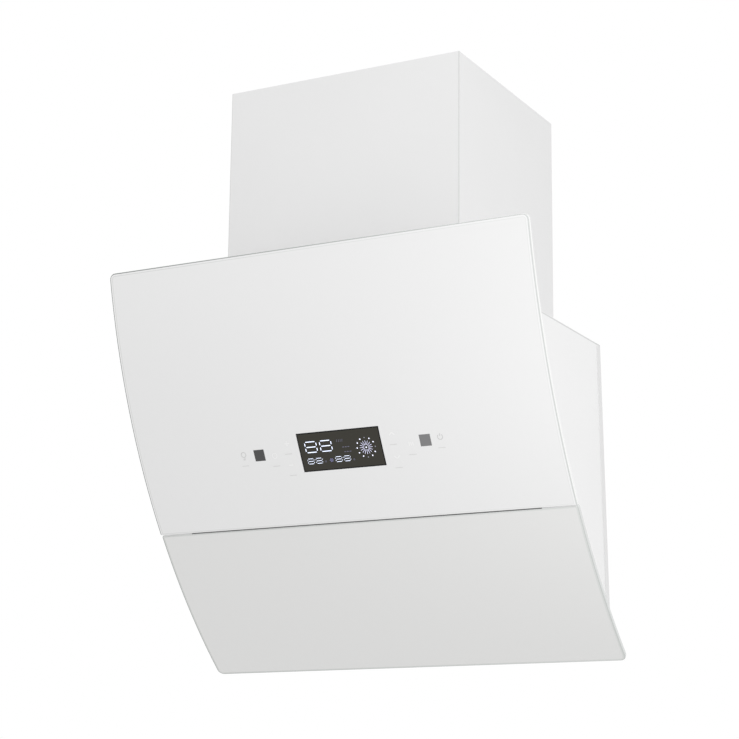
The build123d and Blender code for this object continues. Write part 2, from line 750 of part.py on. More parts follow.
def scroll_face(wall):
    """Spiral of three quarter turns with an upright outlet, grown outwards by a wall."""
    first = scroll_start + wall
    second = first + scroll_step
    third = second + scroll_step
    diagonal = sqrt(0.5)
    top = inner_high - blower_z
    front = -(scroll_step + third)
    tongue = sqrt(first ** 2 - wall ** 2)
    turn = radians(90 - degrees(atan2(tongue, wall)))
    middle = radians(45) - turn / 2
    edges = [
        Line(blower_point(wall, top), blower_point(wall, tongue)),
        ThreePointArc(
            blower_point(wall, tongue),
            blower_point(first * cos(middle), first * sin(middle)),
            blower_point(first, 0),
        ),
        ThreePointArc(
            blower_point(first, 0),
            blower_point(-scroll_step + second * diagonal, -second * diagonal),
            blower_point(-scroll_step, -second),
        ),
        ThreePointArc(
            blower_point(-scroll_step, -second),
            blower_point(-scroll_step - third * diagonal, scroll_step - third * diagonal),
            blower_point(front, scroll_step),
        ),
        Line(blower_point(front, scroll_step), blower_point(front, top)),
        Line(blower_point(front, top), blower_point(wall, top)),
    ]
    return Plane.YZ * make_face(edges)


scroll_rim = 10.0
lip_height = 3.0
scroll_inside = across(scroll_face(0), 0, outlet_half_width)
scroll_half = across(scroll_face(plastic), 0, scroll_half_width)
scroll_half += box(
    (0, scroll_half_width + scroll_rim),
    (outlet_front - plastic - scroll_rim, blower_y + plastic + scroll_rim),
    (inner_high - plastic, inner_high),
)
scroll_half -= scroll_inside
scroll_half += blower_rod(inlet_radius + plastic, outlet_half_width, scroll_half_width + lip_height)
scroll_half -= blower_rod(inlet_radius, outlet_half_width - past, scroll_half_width + lip_height + past)
save("scroll_half_left", mirrored(scroll_half))
arm_start_angle = 30.0
arm_angles = [arm_start_angle + turn * 360 / arm_count for turn in range(arm_count)]
arm_places = [(arm_reach * cos(radians(a)), arm_reach * sin(radians(a))) for a in arm_angles]
for y, z in arm_places:
    scroll_half -= blower_rod(screw_radius + running, outlet_half_width - past, scroll_half_width + past, y, z)
save("scroll_half_right", scroll_half)

# ---------------------------------------------------------------- impeller with a double row of blades
ring_sheet, ring_width, disc_sheet, hub_radius, press_play = 2.0, 5.0, 2.0, 12.0, 0.02
blade_inner = impeller_radius - blade_depth
blade_sweep = 8.0
blade_bend = (0.55, 0.3)        # share of the depth and of the sweep at the bend of a blade


def spoke_point(radius, angle):
    """Side view point at a radius and angle round the shaft."""
    return blower_point(radius * cos(radians(angle)), radius * sin(radians(angle)))


def blade_face(angle):
    """Forward-curved blade, seen along the shaft."""
    turn = degrees(blade_thickness / impeller_radius)
    stations = [
        (blade_inner, angle),
        (blade_inner + blade_bend[0] * blade_depth, angle + blade_bend[1] * blade_sweep),
        (impeller_radius - ring_sheet / 2, angle + blade_sweep),
    ]
    near = [spoke_point(radius, a) for radius, a in stations]
    far = [spoke_point(radius, a + turn) for radius, a in reversed(stations)]
    return make_face([
        ThreePointArc(*near), Line(near[-1], far[0]), ThreePointArc(*far), Line(far[-1], near[0])
    ])


blades = Sketch()
for number in range(blade_count):
    blades += blade_face(number * 360 / blade_count)
impeller = across(Plane.YZ * blades, -impeller_half_width, impeller_half_width)
impeller += blower_rod(impeller_radius, -disc_sheet / 2, disc_sheet / 2)
for x in (-impeller_half_width, impeller_half_width - ring_sheet):
    impeller += blower_ring(impeller_radius, impeller_radius - ring_width, x, x + ring_sheet)
hub_gap = 2.0
hub_end = motor_start - hub_gap
hub_start = -14.0
impeller += blower_rod(hub_radius, hub_start, hub_end)
impeller -= blower_rod(shaft_radius + press_play, hub_start - past, hub_end + past)
save("impeller", impeller)

nut_height = 8.0
nut_radius = 7.5
nut_face = RegularPolygon(nut_radius, 6)
nut_plane = Plane(origin=(hub_start - nut_height, blower_y, blower_z), z_dir=(1, 0, 0))
nut = nut_plane * extrude(nut_face, nut_height)
nut -= blower_rod(shaft_radius + press_play, hub_start - nut_height - past, hub_start + past)
save("impeller_nut", nut)

# ---------------------------------------------------------------- motor inside the right half of the impeller
core_start = motor_start + shield_depth
core_end = core_start + core_length
motor_end = core_end + shield_depth
shaft_tip = 4.0
shaft_start = hub_start - nut_height - shaft_tip
shaft_end = motor_end - shaft_tip
save("motor_shaft", blower_rod(shaft_radius, shaft_start, shaft_end))
save("motor_rotor", blower_ring(core_bore - rotor_gap, shaft_radius + press_play, core_start, core_end))
winding_inner, winding_outer, winding_reach = 27.0, 36.0, 8.0
stator = blower_ring(motor_radius, core_bore, core_start, core_end)
stator += blower_ring(winding_outer, winding_inner, core_start - winding_reach, core_end + winding_reach)
save("motor_stator", stator)
bearing_gap = 1.0


def end_shield(closed, open_end, through):
    """Cup over one end of the motor, with a seat for its bearing."""
    step = 1 if open_end > closed else -1
    low, high = sorted((closed, open_end))
    shield = blower_rod(motor_radius, low, high)
    low, high = sorted((closed + step * shield_wall, open_end + step))
    shield -= blower_rod(motor_radius - shield_wall, low, high)
    low, high = sorted((closed + step * shield_wall / 2, closed + step * (shield_wall + bearing_width)))
    shield += blower_rod(bearing_radius + shield_wall, low, high)
    low, high = sorted((closed + step * shield_wall, closed + step * (shield_wall + bearing_width + past)))
    shield -= blower_rod(bearing_radius + press_play, low, high)
    if through:
        low, high = sorted((closed - step, closed + step * (shield_wall + past)))
        shield -= blower_rod(shaft_radius + bearing_gap, low, high)
    return shield


save("motor_end_shield_inner", end_shield(motor_start, core_start, True))
save("motor_end_shield_outer", end_shield(motor_end, core_end, False))
inner_seat = motor_start + shield_wall
outer_seat = motor_end - shield_wall
bearings = blower_ring(bearing_radius, shaft_radius + running, inner_seat, inner_seat + bearing_width)
bearings += blower_ring(bearing_radius, shaft_radius + running, outer_seat - bearing_width, outer_seat)
save("motor_bearings", bearings)

bush_start = scroll_half_width
bush_ring = 22.0
motor_bracket = blower_rod(bush_ring, motor_end, motor_end + arm_sheet)
arm_x = (motor_end, motor_end + arm_sheet)
bushes = Part()
bracket_fixings = Part()
for angle, (y, z) in zip(arm_angles, arm_places):
    along = Plane(origin=(motor_end, blower_y, blower_z), x_dir=(0, cos(radians(angle)), sin(radians(angle))),
                  z_dir=(1, 0, 0))
    motor_bracket += along * box((0, arm_reach), (-arm_width / 2, arm_width / 2), (0, arm_sheet))
    motor_bracket += blower_rod(arm_width / 2, *arm_x, y, z)
    motor_bracket -= blower_rod(screw_radius + running, arm_x[0] - past, arm_x[1] + past, y, z)
    bushes += blower_rod(bush_radius, bush_start, motor_end, y, z) - blower_rod(
        screw_radius + running, bush_start - past, motor_end + past, y, z
    )
    bracket_fixings += blower_rod(screw_radius, outlet_half_width - screw_reach, arm_x[1], y, z)
    bracket_fixings += blower_rod(screw_head_radius, arm_x[1], arm_x[1] + screw_head, y, z)
save("motor_bracket", motor_bracket)
save("motor_bushes", bushes)
save("motor_bracket_screws", bracket_fixings)

# ---------------------------------------------------------------- grease filter in the lower front
rim_lip = 1.0
tray_half, tray_length, tray_wall, tray_floor = 20.0, 30.0, 1.6, 7.9
filter_half_x, filter_half_y = filter_width / 2, filter_length / 2
inside_x, inside_y = filter_half_x - rim_width, filter_half_y - rim_width
latch_half = latch_width / 2
latch_low = -latch_depth - latch_sheet
rim = box((-filter_half_x, filter_half_x), (-filter_half_y, filter_half_y), (-filter_thickness, 0))
rim -= box((-inside_x, inside_x), (-inside_y, inside_y), (-filter_thickness - past, past))
rim -= box(
    (-filter_half_x + rim_lip, filter_half_x - rim_lip),
    (-filter_half_y + rim_lip, filter_half_y - rim_lip),
    (-filter_thickness + rim_lip, -rim_lip),
)
rim -= box(
    (-latch_half - touch_gap, latch_half + touch_gap),
    (inside_y, filter_half_y + past),
    (latch_low - touch_gap, -latch_depth + touch_gap),
)
save("filter_rim", filter_frame_plane * rim)

net_x, net_y = filter_half_x - rim_lip - touch_gap, filter_half_y - rim_lip - touch_gap
tray_cut = box(
    (-tray_half - touch_gap, tray_half + touch_gap),
    (inside_y - tray_length - touch_gap, filter_half_y),
    (-filter_thickness, past),
)
columns = int(2 * inside_x // mesh_pitch)
rows = int(2 * inside_y // mesh_pitch)
net_face = Rectangle(2 * net_x, 2 * net_y) - GridLocations(mesh_pitch, mesh_pitch, columns, rows) * (
    Rot(0, 0, 45) * RectangleRounded(mesh_hole, mesh_hole, mesh_hole_round)
)
net = Pos(0, 0, -rim_lip - mesh_thickness) * extrude(net_face, mesh_thickness) - tray_cut
save("filter_mesh", filter_frame_plane * net)
core = box((-net_x, net_x), (-net_y, net_y), (-filter_thickness + rim_lip, -rim_lip - mesh_thickness))
save("filter_core", filter_frame_plane * (core - tray_cut))

tray = box((-tray_half, tray_half), (inside_y - tray_length, inside_y), (-tray_floor, 0))
tray -= box(
    (-latch_half - touch_gap, latch_half + touch_gap),
    (inside_y - tray_length + tray_wall, inside_y + past),
    (latch_low - touch_gap, past),
)
save("latch_tray", filter_frame_plane * tray)
slider_low = inside_y - tray_length + tray_wall + latch_travel + touch_gap
tongue_reach = 0.7
tongue_end = filter_half_y + filter_play + sheet + tongue_reach
grip_length, grip_height, grip_inset = 10.0, 3.5, 3.0
latch = box((-latch_half, latch_half), (slider_low, tongue_end), (latch_low, -latch_depth))
latch += box(
    (-latch_half + grip_inset, latch_half - grip_inset),
    (slider_low, slider_low + grip_length),
    (-latch_depth, -latch_depth + grip_height),
)
save("filter_latch", filter_frame_plane * latch)

# ---------------------------------------------------------------- lamps in the bottom panel
lamp_flange, lamp_lip, lamp_depth, lamp_wall = 28.0, 2.0, 18.0, 2.0
lens_sheet, lens_inset = 2.0, 0.5
lamp_inside = lamp_radius - lamp_wall
lens_low = -lamp_lip + lens_inset


def lamp_rod(x, radius, low, high):
    """Upright bar on the axis of a lamp, heights measured from the underside of the housing."""
    return rod(radius, (x, lamp_y, body_bottom + low), (x, lamp_y, body_bottom + high))


lamp_housings = Part()
lamp_lenses = Part()
lamp_boards = Part()
for x in (-lamp_x, lamp_x):
    lamp_housings += (
        lamp_rod(x, lamp_flange, -lamp_lip, 0) + lamp_rod(x, lamp_radius, 0, lamp_depth)
        - lamp_rod(x, lamp_inside, -lamp_lip - past, lamp_depth - lamp_wall)
    )
    lamp_lenses += lamp_rod(x, lamp_inside - touch_gap, lens_low, lens_low + lens_sheet)
    lamp_boards += lamp_rod(
        x, lamp_inside - touch_gap, lamp_depth - lamp_wall - board_sheet, lamp_depth - lamp_wall
    )
save("lamp_housings", lamp_housings)
save("lamp_lenses", lamp_lenses)
save("lamp_boards", lamp_boards)

# ---------------------------------------------------------------- oil cup below the grease drain
cup_top = body_bottom - touch_gap
cup_wall, hook_rise = 2.0, 10.0
oil_cup = box(
    (-cup_width / 2, cup_width / 2),
    (cup_y - cup_depth / 2, cup_y + cup_depth / 2),
    (cup_top - cup_height, cup_top),
)
oil_cup -= box(
    (-cup_width / 2 + cup_wall, cup_width / 2 - cup_wall),
    (cup_y - cup_depth / 2 + cup_wall, cup_y + cup_depth / 2 - cup_wall),
    (cup_top - cup_height + cup_wall, cup_top + past),
)
for x in (-hook_x, hook_x):
    oil_cup += box(
        (x - hook_sheet / 2, x + hook_sheet / 2), (cup_y - hook_width / 2, cup_y + hook_width / 2),
        (cup_top - cup_height / 2, cup_top + hook_rise),
    )
save("oil_cup", oil_cup)

# ---------------------------------------------------------------- electrics on the back and top panels
box_x, box_z, box_depth, box_wall, lid_sheet = (-185.0, -90.0), (-60.0, 50.0), 36.0, 2.0, 2.0
post_height, post_radius = 8.0, 3.0
box_front = -sheet - box_depth
control_box = box(box_x, (box_front, -sheet), box_z)
control_box -= box(
    (box_x[0] + box_wall, box_x[1] - box_wall),
    (box_front - past, -sheet - box_wall),
    (box_z[0] + box_wall, box_z[1] - box_wall),
)
post_inset = 10.0
post_front = -sheet - box_wall - post_height
for x in (box_x[0] + post_inset, box_x[1] - post_inset):
    for z in (box_z[0] + post_inset, box_z[1] - post_inset):
        control_box += rod(post_radius, (x, post_front, z), (x, -sheet - box_wall / 2, z))
save("control_box", control_box)
save("control_box_lid", box(box_x, (box_front - lid_sheet, box_front), box_z))
board_inset = box_wall + touch_gap
save("control_board", box(
    (box_x[0] + board_inset, box_x[1] - board_inset),
    (post_front - board_sheet, post_front),
    (box_z[0] + board_inset, box_z[1] - board_inset),
))
capacitor_x, capacitor_z, capacitor_depth, capacitor_round = (100.0, 150.0), (-20.0, 15.0), 24.0, 4.0
capacitor = box(capacitor_x, (-sheet - capacitor_depth, -sheet), capacitor_z)
save("motor_capacitor", fillet(capacitor.edges().filter_by(Axis.Y), capacitor_round))
bush_flange, bush_head, cable_bore, bush_below, bush_snap = 12.0, 4.0, 4.0, 7.0, 1.0
bush_low, bush_high = inner_high - bush_below, body_top + bush_head


def cable_rod(radius, low, high):
    """Upright bar on the axis of the cable hole."""
    return rod(radius, (cable_x, cable_y, low), (cable_x, cable_y, high))


cable_bush = cable_rod(bush_flange, body_top, bush_high)
cable_bush += cable_rod(cable_hole_radius - touch_gap, bush_low, body_top)
cable_bush += cable_rod(cable_hole_radius + bush_snap, bush_low, inner_high - touch_gap)
save("cable_bush", cable_bush - cable_rod(cable_bore, bush_low - past, bush_high + past))
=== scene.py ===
import json
import math

import bpy
from mathutils import Matrix, Vector


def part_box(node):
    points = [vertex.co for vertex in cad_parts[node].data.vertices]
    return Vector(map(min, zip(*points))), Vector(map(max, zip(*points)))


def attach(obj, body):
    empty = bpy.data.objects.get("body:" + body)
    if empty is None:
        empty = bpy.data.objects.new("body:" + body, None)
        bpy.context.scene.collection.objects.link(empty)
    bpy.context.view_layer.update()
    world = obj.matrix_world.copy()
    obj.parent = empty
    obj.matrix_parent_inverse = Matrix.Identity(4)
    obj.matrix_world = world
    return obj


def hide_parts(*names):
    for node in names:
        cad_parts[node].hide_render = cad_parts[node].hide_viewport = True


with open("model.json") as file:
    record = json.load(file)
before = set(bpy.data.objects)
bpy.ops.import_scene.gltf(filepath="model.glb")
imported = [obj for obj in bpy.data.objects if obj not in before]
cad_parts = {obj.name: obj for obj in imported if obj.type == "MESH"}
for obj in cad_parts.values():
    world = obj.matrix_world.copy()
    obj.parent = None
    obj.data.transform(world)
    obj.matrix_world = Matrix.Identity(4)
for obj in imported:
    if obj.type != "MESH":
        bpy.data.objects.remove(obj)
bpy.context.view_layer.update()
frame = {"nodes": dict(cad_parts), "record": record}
nodes = frame["nodes"]
mm = 0.001
print("frame loaded:", len(nodes), "nodes")


def srgb(code):
    # sRGB hex to the linear values that shaders take
    channels = [int(code[i:i + 2], 16) / 255 for i in (0, 2, 4)]
    linear = [c / 12.92 if c <= 0.04045 else ((c + 0.055) / 1.055) ** 2.4 for c in channels]
    return (*linear, 1.0)


def addNode(owner, kind, inputs=None, output=0, **settings):
    # one node with its settings and its links; gives back the output that the next node takes. A colour Mix
    # takes its share at socket 0 and its colours at 6 and 7, and gives the result at 2
    node = owner.node_tree.nodes.new(kind)
    for name, value in settings.items():
        setattr(node, name, value)
    for socket, value in (inputs or {}).items():
        if isinstance(value, bpy.types.NodeSocket):
            owner.node_tree.links.new(value, node.inputs[socket])
        else:
            node.inputs[socket].default_value = value
    return node.outputs[output] if node.outputs else None


def blankMaterial(name):
    # a material with no nodes yet, apart from the object coordinates that its patterns read
    material = bpy.data.materials.new(name)
    material.use_nodes = True
    material.node_tree.nodes.clear()
    return material, addNode(material, "ShaderNodeTexCoord", output="Object")


def placed(place, across, up, out):
    # the matrix that takes X, Y and Z to these three axes, and the origin to this place
    turned = Matrix([[axis[row] for axis in (across, up, out)] for row in range(3)]).to_4x4()
    return Matrix.Translation(place) @ turned


def start(add, **where):
    # a fresh primitive, the only thing selected
    bpy.ops.object.select_all(action="DESELECT")
    add(**where)
    return bpy.context.object


def editAll():
    # edit mode, with the whole mesh selected
    bpy.ops.object.mode_set(mode="EDIT")
    bpy.ops.mesh.select_all(action="SELECT")


def selectVertices(piece, keep):
    # in edit mode: only the vertices whose place passes the test
    bpy.ops.mesh.select_all(action="DESELECT")
    bpy.ops.object.mode_set(mode="OBJECT")
    for vertex in piece.data.vertices:
        vertex.select = keep(vertex.co)
    bpy.ops.object.mode_set(mode="EDIT")
    bpy.ops.mesh.select_mode(type="VERT")


def joined(pieces, name):
    bpy.ops.object.select_all(action="DESELECT")
    for piece in pieces:
        piece.select_set(True)
    bpy.context.view_layer.objects.active = pieces[0]
    if len(pieces) > 1:
        bpy.ops.object.join()
    pieces[0].name = name
    pieces[0].data.name = name
    return pieces[0]


def settle(piece):
    # place, turn and size go into the mesh, as on a CAD node
    bpy.ops.object.select_all(action="DESELECT")
    piece.select_set(True)
    bpy.context.view_layer.objects.active = piece
    bpy.ops.object.transform_apply(location=True, rotation=True, scale=True)


mergeWithin = 0.001 * mm


def copyOf(nodeName, name):
    # a piece of its own that starts as a CAD node's shape, its loose triangles merged
    source = nodes[nodeName]
    piece = bpy.data.objects.new(name, source.data.copy())
    bpy.context.scene.collection.objects.link(piece)
    joined([piece], name)
    editAll()
    bpy.ops.mesh.remove_doubles(threshold=mergeWithin)
    bpy.ops.object.mode_set(mode="OBJECT")
    return piece


def cutAway(piece, cutter):
    # the cutter's shape goes out of the piece, and the cutter out of the scene
    joined([piece], piece.name)
    cut = piece.modifiers.new("cut", "BOOLEAN")
    cut.object = cutter
    cut.operation = "DIFFERENCE"
    bpy.ops.object.modifier_apply(modifier=cut.name)
    bpy.data.objects.remove(cutter)


def dress(piece, material, body):
    piece.data.materials.clear()
    piece.data.materials.append(material)
    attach(piece, body)


# the curve of the glass, in metres: the lower edge is Y and Z, the last two are heights along the curve
curve = {
    "radius": 0.9236, "thickness": 0.006, "flapSetBack": 0.002, "lowerEdge": (-0.088, -0.231), "lean": 0.2934,
    "height": 0.500, "halfWidth": 0.300, "flapTop": 0.229, "upperBottom": 0.2305,
}
chord = math.hypot(curve["lean"], curve["height"])
rise = math.sqrt(curve["radius"] ** 2 - (chord / 2) ** 2)
curveY = curve["lowerEdge"][0] - curve["lean"] / 2 + rise * curve["height"] / chord
curveZ = curve["lowerEdge"][1] + curve["height"] / 2 + rise * curve["lean"] / chord
lowAngle = math.atan2(curve["lowerEdge"][1] - curveZ, curve["lowerEdge"][0] - curveY)


def onGlass(x, along, lift=0.0):
    # frame on the front of the glass: X across, Y up along the curve, Z out of the glass
    angle = lowAngle - along / curve["radius"]
    out = Vector((0, math.cos(angle), math.sin(angle)))
    up = Vector((0, math.sin(angle), -math.cos(angle)))
    place = Vector((x, curveY, curveZ)) + out * (curve["radius"] + lift)
    return placed(place, Vector((1, 0, 0)), up, out)


def powderCoat(name, white, shade):
    # white epoxy-polyester powder coat on steel: satin, with a fine orange peel that softens the shine;
    # a grey line is painted on sharp upright folds and along the body's top edge as painted shade
    look = {
        "peel": 1.4, "peelDepth": 0.1, "cloud": 160.0, "fold": "D6D7D6", "foldStart": 0.10, "levelUpTo": 0.05,
        # height of the painted shade line along the body's top edge, half its width and the Y in front of
        # which there is none, in metres
        "shadeLineHeight": 0.1995, "shadeLineHalf": 0.0009, "shadeLineBehind": -0.33,
    }
    material, place = blankMaterial(name)
    cloud = addNode(material, "ShaderNodeTexNoise", {"Vector": place, "Scale": 1 / (look["cloud"] * mm)})
    color = addNode(material, "ShaderNodeMix", {0: cloud, 6: srgb(white), 7: srgb(shade)}, 2,
                    data_type="RGBA")

    # a bend is where an upright face looks partly along X and partly along Y; there the grey is painted shade
    facing = addNode(material, "ShaderNodeTexCoord", output="Normal")
    sides = addNode(material, "ShaderNodeSeparateXYZ", {0: facing})
    both = addNode(material, "ShaderNodeMath", {0: sides, 1: sides.node.outputs["Y"]}, operation="MULTIPLY")
    both = addNode(material, "ShaderNodeMath", {0: both}, operation="ABSOLUTE")
    level = addNode(material, "ShaderNodeMath", {0: sides.node.outputs["Z"]}, operation="ABSOLUTE")
    level = addNode(material, "ShaderNodeMath", {0: level, 1: look["levelUpTo"]}, operation="LESS_THAN")
    both = addNode(material, "ShaderNodeMath", {0: both, 1: look["foldStart"]}, operation="GREATER_THAN")
    both = addNode(material, "ShaderNodeMath", {0: both, 1: level}, operation="MULTIPLY")
    color = addNode(material, "ShaderNodeMix", {0: both, 6: color, 7: srgb(look["fold"])}, 2,
                    data_type="RGBA")

    # the painted shade line along the top edge is a thin band at one height
    spot = addNode(material, "ShaderNodeSeparateXYZ", {"Vector": place}).node
    shadeLine = addNode(material, "ShaderNodeMath",
                   {0: spot.outputs["Z"], 1: look["shadeLineHeight"], 2: look["shadeLineHalf"]}, operation="COMPARE")
    behind = addNode(material, "ShaderNodeMath", {0: spot.outputs["Y"], 1: look["shadeLineBehind"]},
                     operation="GREATER_THAN")
    shadeLine = addNode(material, "ShaderNodeMath", {0: shadeLine, 1: behind}, operation="MULTIPLY")
    color = addNode(material, "ShaderNodeMix", {0: shadeLine, 6: color, 7: srgb(look["fold"])}, 2,
                    data_type="RGBA")

    peel = addNode(material, "ShaderNodeTexNoise", {"Vector": place, "Scale": 1 / (look["peel"] * mm)})
    bump = addNode(material, "ShaderNodeBump",
                   {"Height": peel, "Strength": 0.05, "Distance": look["peelDepth"] * mm})
    shader = addNode(material, "ShaderNodeBsdfPrincipled",
                     {"Base Color": color, "Roughness": 0.42, "IOR": 1.5, "Normal": bump})
    addNode(material, "ShaderNodeOutputMaterial", {"Surface": shader})
    return material


# depth of the ground arris from the front and of the paint from the back, in mm
paintedEdge = {"ground": 1.1, "paint": 0.2}


def paintedGlass(name, look):
    # toughened float glass, white ceramic paint fired on its back: deep gloss over white; the ground edge
    # shows as bands round the panel, darker towards the left as painted shade, and display and sensors look
    # out through windows left in the paint
    material, place = blankMaterial(name)
    across = addNode(material, "ShaderNodeSeparateXYZ", {"Vector": place})
    aside = addNode(material, "ShaderNodeMath", {0: across.node.outputs["Y"], 1: curveY},
                    operation="SUBTRACT")
    below = addNode(material, "ShaderNodeMath", {0: across.node.outputs["Z"], 1: curveZ},
                    operation="SUBTRACT")
    spoke = addNode(material, "ShaderNodeCombineXYZ", {"X": aside, "Y": below})
    reach = addNode(material, "ShaderNodeVectorMath", {0: spoke}, "Value", operation="LENGTH")
    front = look["radius"] - paintedEdge["ground"] * mm
    back = look["radius"] - curve["thickness"] + paintedEdge["paint"] * mm
    onFront = addNode(material, "ShaderNodeMath", {0: reach, 1: front}, operation="GREATER_THAN")
    onBack = addNode(material, "ShaderNodeMath", {0: reach, 1: back}, operation="LESS_THAN")
    turn = addNode(material, "ShaderNodeMath", {0: below, 1: aside}, operation="ARCTAN2")
    turn = addNode(material, "ShaderNodeMath", {0: lowAngle, 1: turn}, operation="SUBTRACT")
    along = addNode(material, "ShaderNodeMath", {0: turn, 1: curve["radius"]}, operation="MULTIPLY")

    # distance in from the rounded outline of the panel
    middle, half = (look["low"] + look["high"]) / 2, (look["high"] - look["low"]) / 2
    isHigh = addNode(material, "ShaderNodeMath", {0: along, 1: middle}, operation="GREATER_THAN")
    corner = addNode(material, "ShaderNodeMath", {0: isHigh, 1: look["highCorner"] - look["lowCorner"],
                                                  2: look["lowCorner"]}, operation="MULTIPLY_ADD")
    pastX = addNode(material, "ShaderNodeMath", {0: across}, operation="ABSOLUTE")
    pastX = addNode(material, "ShaderNodeMath", {0: pastX, 1: curve["halfWidth"]}, operation="SUBTRACT")
    pastX = addNode(material, "ShaderNodeMath", {0: pastX, 1: corner}, operation="ADD")
    pastY = addNode(material, "ShaderNodeMath", {0: along, 1: middle}, operation="SUBTRACT")
    pastY = addNode(material, "ShaderNodeMath", {0: pastY}, operation="ABSOLUTE")
    pastY = addNode(material, "ShaderNodeMath", {0: pastY, 1: half}, operation="SUBTRACT")
    pastY = addNode(material, "ShaderNodeMath", {0: pastY, 1: corner}, operation="ADD")
    overX = addNode(material, "ShaderNodeMath", {0: pastX, 1: 0.0}, operation="MAXIMUM")
    overY = addNode(material, "ShaderNodeMath", {0: pastY, 1: 0.0}, operation="MAXIMUM")
    outer = addNode(material, "ShaderNodeCombineXYZ", {"X": overX, "Y": overY})
    outer = addNode(material, "ShaderNodeVectorMath", {0: outer}, "Value", operation="LENGTH")
    inner = addNode(material, "ShaderNodeMath", {0: pastX, 1: pastY}, operation="MAXIMUM")
    inner = addNode(material, "ShaderNodeMath", {0: inner, 1: 0.0}, operation="MINIMUM")
    depth = addNode(material, "ShaderNodeMath", {0: outer, 1: inner}, operation="ADD")
    depth = addNode(material, "ShaderNodeMath", {0: corner, 1: depth}, operation="SUBTRACT")

    color = srgb(look["white"])
    # the rims are painted darker towards the left end: painted shade
    shadeToRight = addNode(material, "ShaderNodeMapRange",
                      {"Value": across, "From Min": -curve["halfWidth"], "From Max": curve["halfWidth"]})
    for width, left, right in reversed(look["rim"]):
        within = addNode(material, "ShaderNodeMath", {0: depth, 1: width * mm}, operation="LESS_THAN")
        tint = addNode(material, "ShaderNodeMix", {0: shadeToRight, 6: srgb(left), 7: srgb(right)}, 2,
                       data_type="RGBA")
        color = addNode(material, "ShaderNodeMix", {0: within, 6: color, 7: tint}, 2, data_type="RGBA")
    color = addNode(material, "ShaderNodeMix", {0: onFront, 6: srgb(look["edge"]), 7: color}, 2,
                    data_type="RGBA")
    color = addNode(material, "ShaderNodeMix", {0: onBack, 6: color, 7: srgb(look["paint"])}, 2,
                    data_type="RGBA")
    shine = 1.0
    for x, height, wide, high, tint, kept in look["windows"]:
        inX = addNode(material, "ShaderNodeMath", {0: across, 1: x * mm, 2: wide / 2 * mm},
                      operation="COMPARE")
        inY = addNode(material, "ShaderNodeMath", {0: along, 1: height * mm, 2: high / 2 * mm},
                      operation="COMPARE")
        inside = addNode(material, "ShaderNodeMath", {0: inX, 1: inY}, operation="MULTIPLY")
        inside = addNode(material, "ShaderNodeMath", {0: inside, 1: onFront}, operation="MULTIPLY")
        color = addNode(material, "ShaderNodeMix", {0: inside, 6: color, 7: srgb(tint)}, 2,
                        data_type="RGBA")
        shine = addNode(material, "ShaderNodeMix", {0: inside, 2: shine, 3: kept})
    shader = addNode(material, "ShaderNodeBsdfPrincipled", {
        "Base Color": color, "Roughness": 0.2, "IOR": 1.5, "Specular IOR Level": 0.12, "Coat Weight": shine,
        "Coat Roughness": 0.02, "Coat IOR": 1.5,
    })
    addNode(material, "ShaderNodeOutputMaterial", {"Surface": shader})
    return material


def zincSteel():
    # zinc-plated pressed steel: bluish grey, softly mottled
    look = {"light": "C9CCD1", "dark": "A9ADB4", "mottle": 14.0}
    material, place = blankMaterial("zincPlatedSteel")
    mottle = addNode(material, "ShaderNodeTexNoise",
                     {"Vector": place, "Scale": 1 / (look["mottle"] * mm), "Detail": 4.0})
    color = addNode(material, "ShaderNodeMix", {0: mottle, 6: srgb(look["dark"]), 7: srgb(look["light"])}, 2,
                    data_type="RGBA")
    shader = addNode(material, "ShaderNodeBsdfPrincipled",
                     {"Base Color": color, "Metallic": 1.0, "Roughness": 0.38})
    addNode(material, "ShaderNodeOutputMaterial", {"Surface": shader})
    return material


def turnedSteel():
    # turned and drawn steel of screws, pins and shaft: fine rings left by the tool
    look = {"light": "B9BBBF", "dark": "94969B", "rings": 0.8, "depth": 0.1}
    material, place = blankMaterial("turnedSteel")
    rings = addNode(material, "ShaderNodeTexNoise", {"Vector": place, "Scale": 1 / (look["rings"] * mm)})
    color = addNode(material, "ShaderNodeMix", {0: rings, 6: srgb(look["dark"]), 7: srgb(look["light"])}, 2,
                    data_type="RGBA")
    bump = addNode(material, "ShaderNodeBump",
                   {"Height": rings, "Strength": 0.1, "Distance": look["depth"] * mm})
    shader = addNode(material, "ShaderNodeBsdfPrincipled",
                     {"Base Color": color, "Metallic": 1.0, "Roughness": 0.28, "Normal": bump})
    addNode(material, "ShaderNodeOutputMaterial", {"Surface": shader})
    return material


def mouldedAbs():
    # black moulded ABS with a fine spark-eroded texture
    look = {"black": "1D1D1F", "worn": "28282A", "grain": 0.9, "depth": 0.1}
    material, place = blankMaterial("mouldedAbs")
    grain = addNode(material, "ShaderNodeTexNoise", {"Vector": place, "Scale": 1 / (look["grain"] * mm)})
    color = addNode(material, "ShaderNodeMix", {0: grain, 6: srgb(look["black"]), 7: srgb(look["worn"])}, 2,
                    data_type="RGBA")
    bump = addNode(material, "ShaderNodeBump",
                   {"Height": grain, "Strength": 0.25, "Distance": look["depth"] * mm})
    shader = addNode(material, "ShaderNodeBsdfPrincipled",
                     {"Base Color": color, "Roughness": 0.55, "IOR": 1.53, "Normal": bump})
    addNode(material, "ShaderNodeOutputMaterial", {"Surface": shader})
    return material


def softRubber(name, dark, bloom):
    # EPDM rubber: dull, with a faint bloom
    look = {"cloud": 9.0}
    material, place = blankMaterial(name)
    cloud = addNode(material, "ShaderNodeTexNoise", {"Vector": place, "Scale": 1 / (look["cloud"] * mm)})
    color = addNode(material, "ShaderNodeMix", {0: cloud, 6: srgb(dark), 7: srgb(bloom)}, 2,
                    data_type="RGBA")
    shader = addNode(material, "ShaderNodeBsdfPrincipled",
                     {"Base Color": color, "Roughness": 0.78, "IOR": 1.5})
    addNode(material, "ShaderNodeOutputMaterial", {"Surface": shader})
    return material


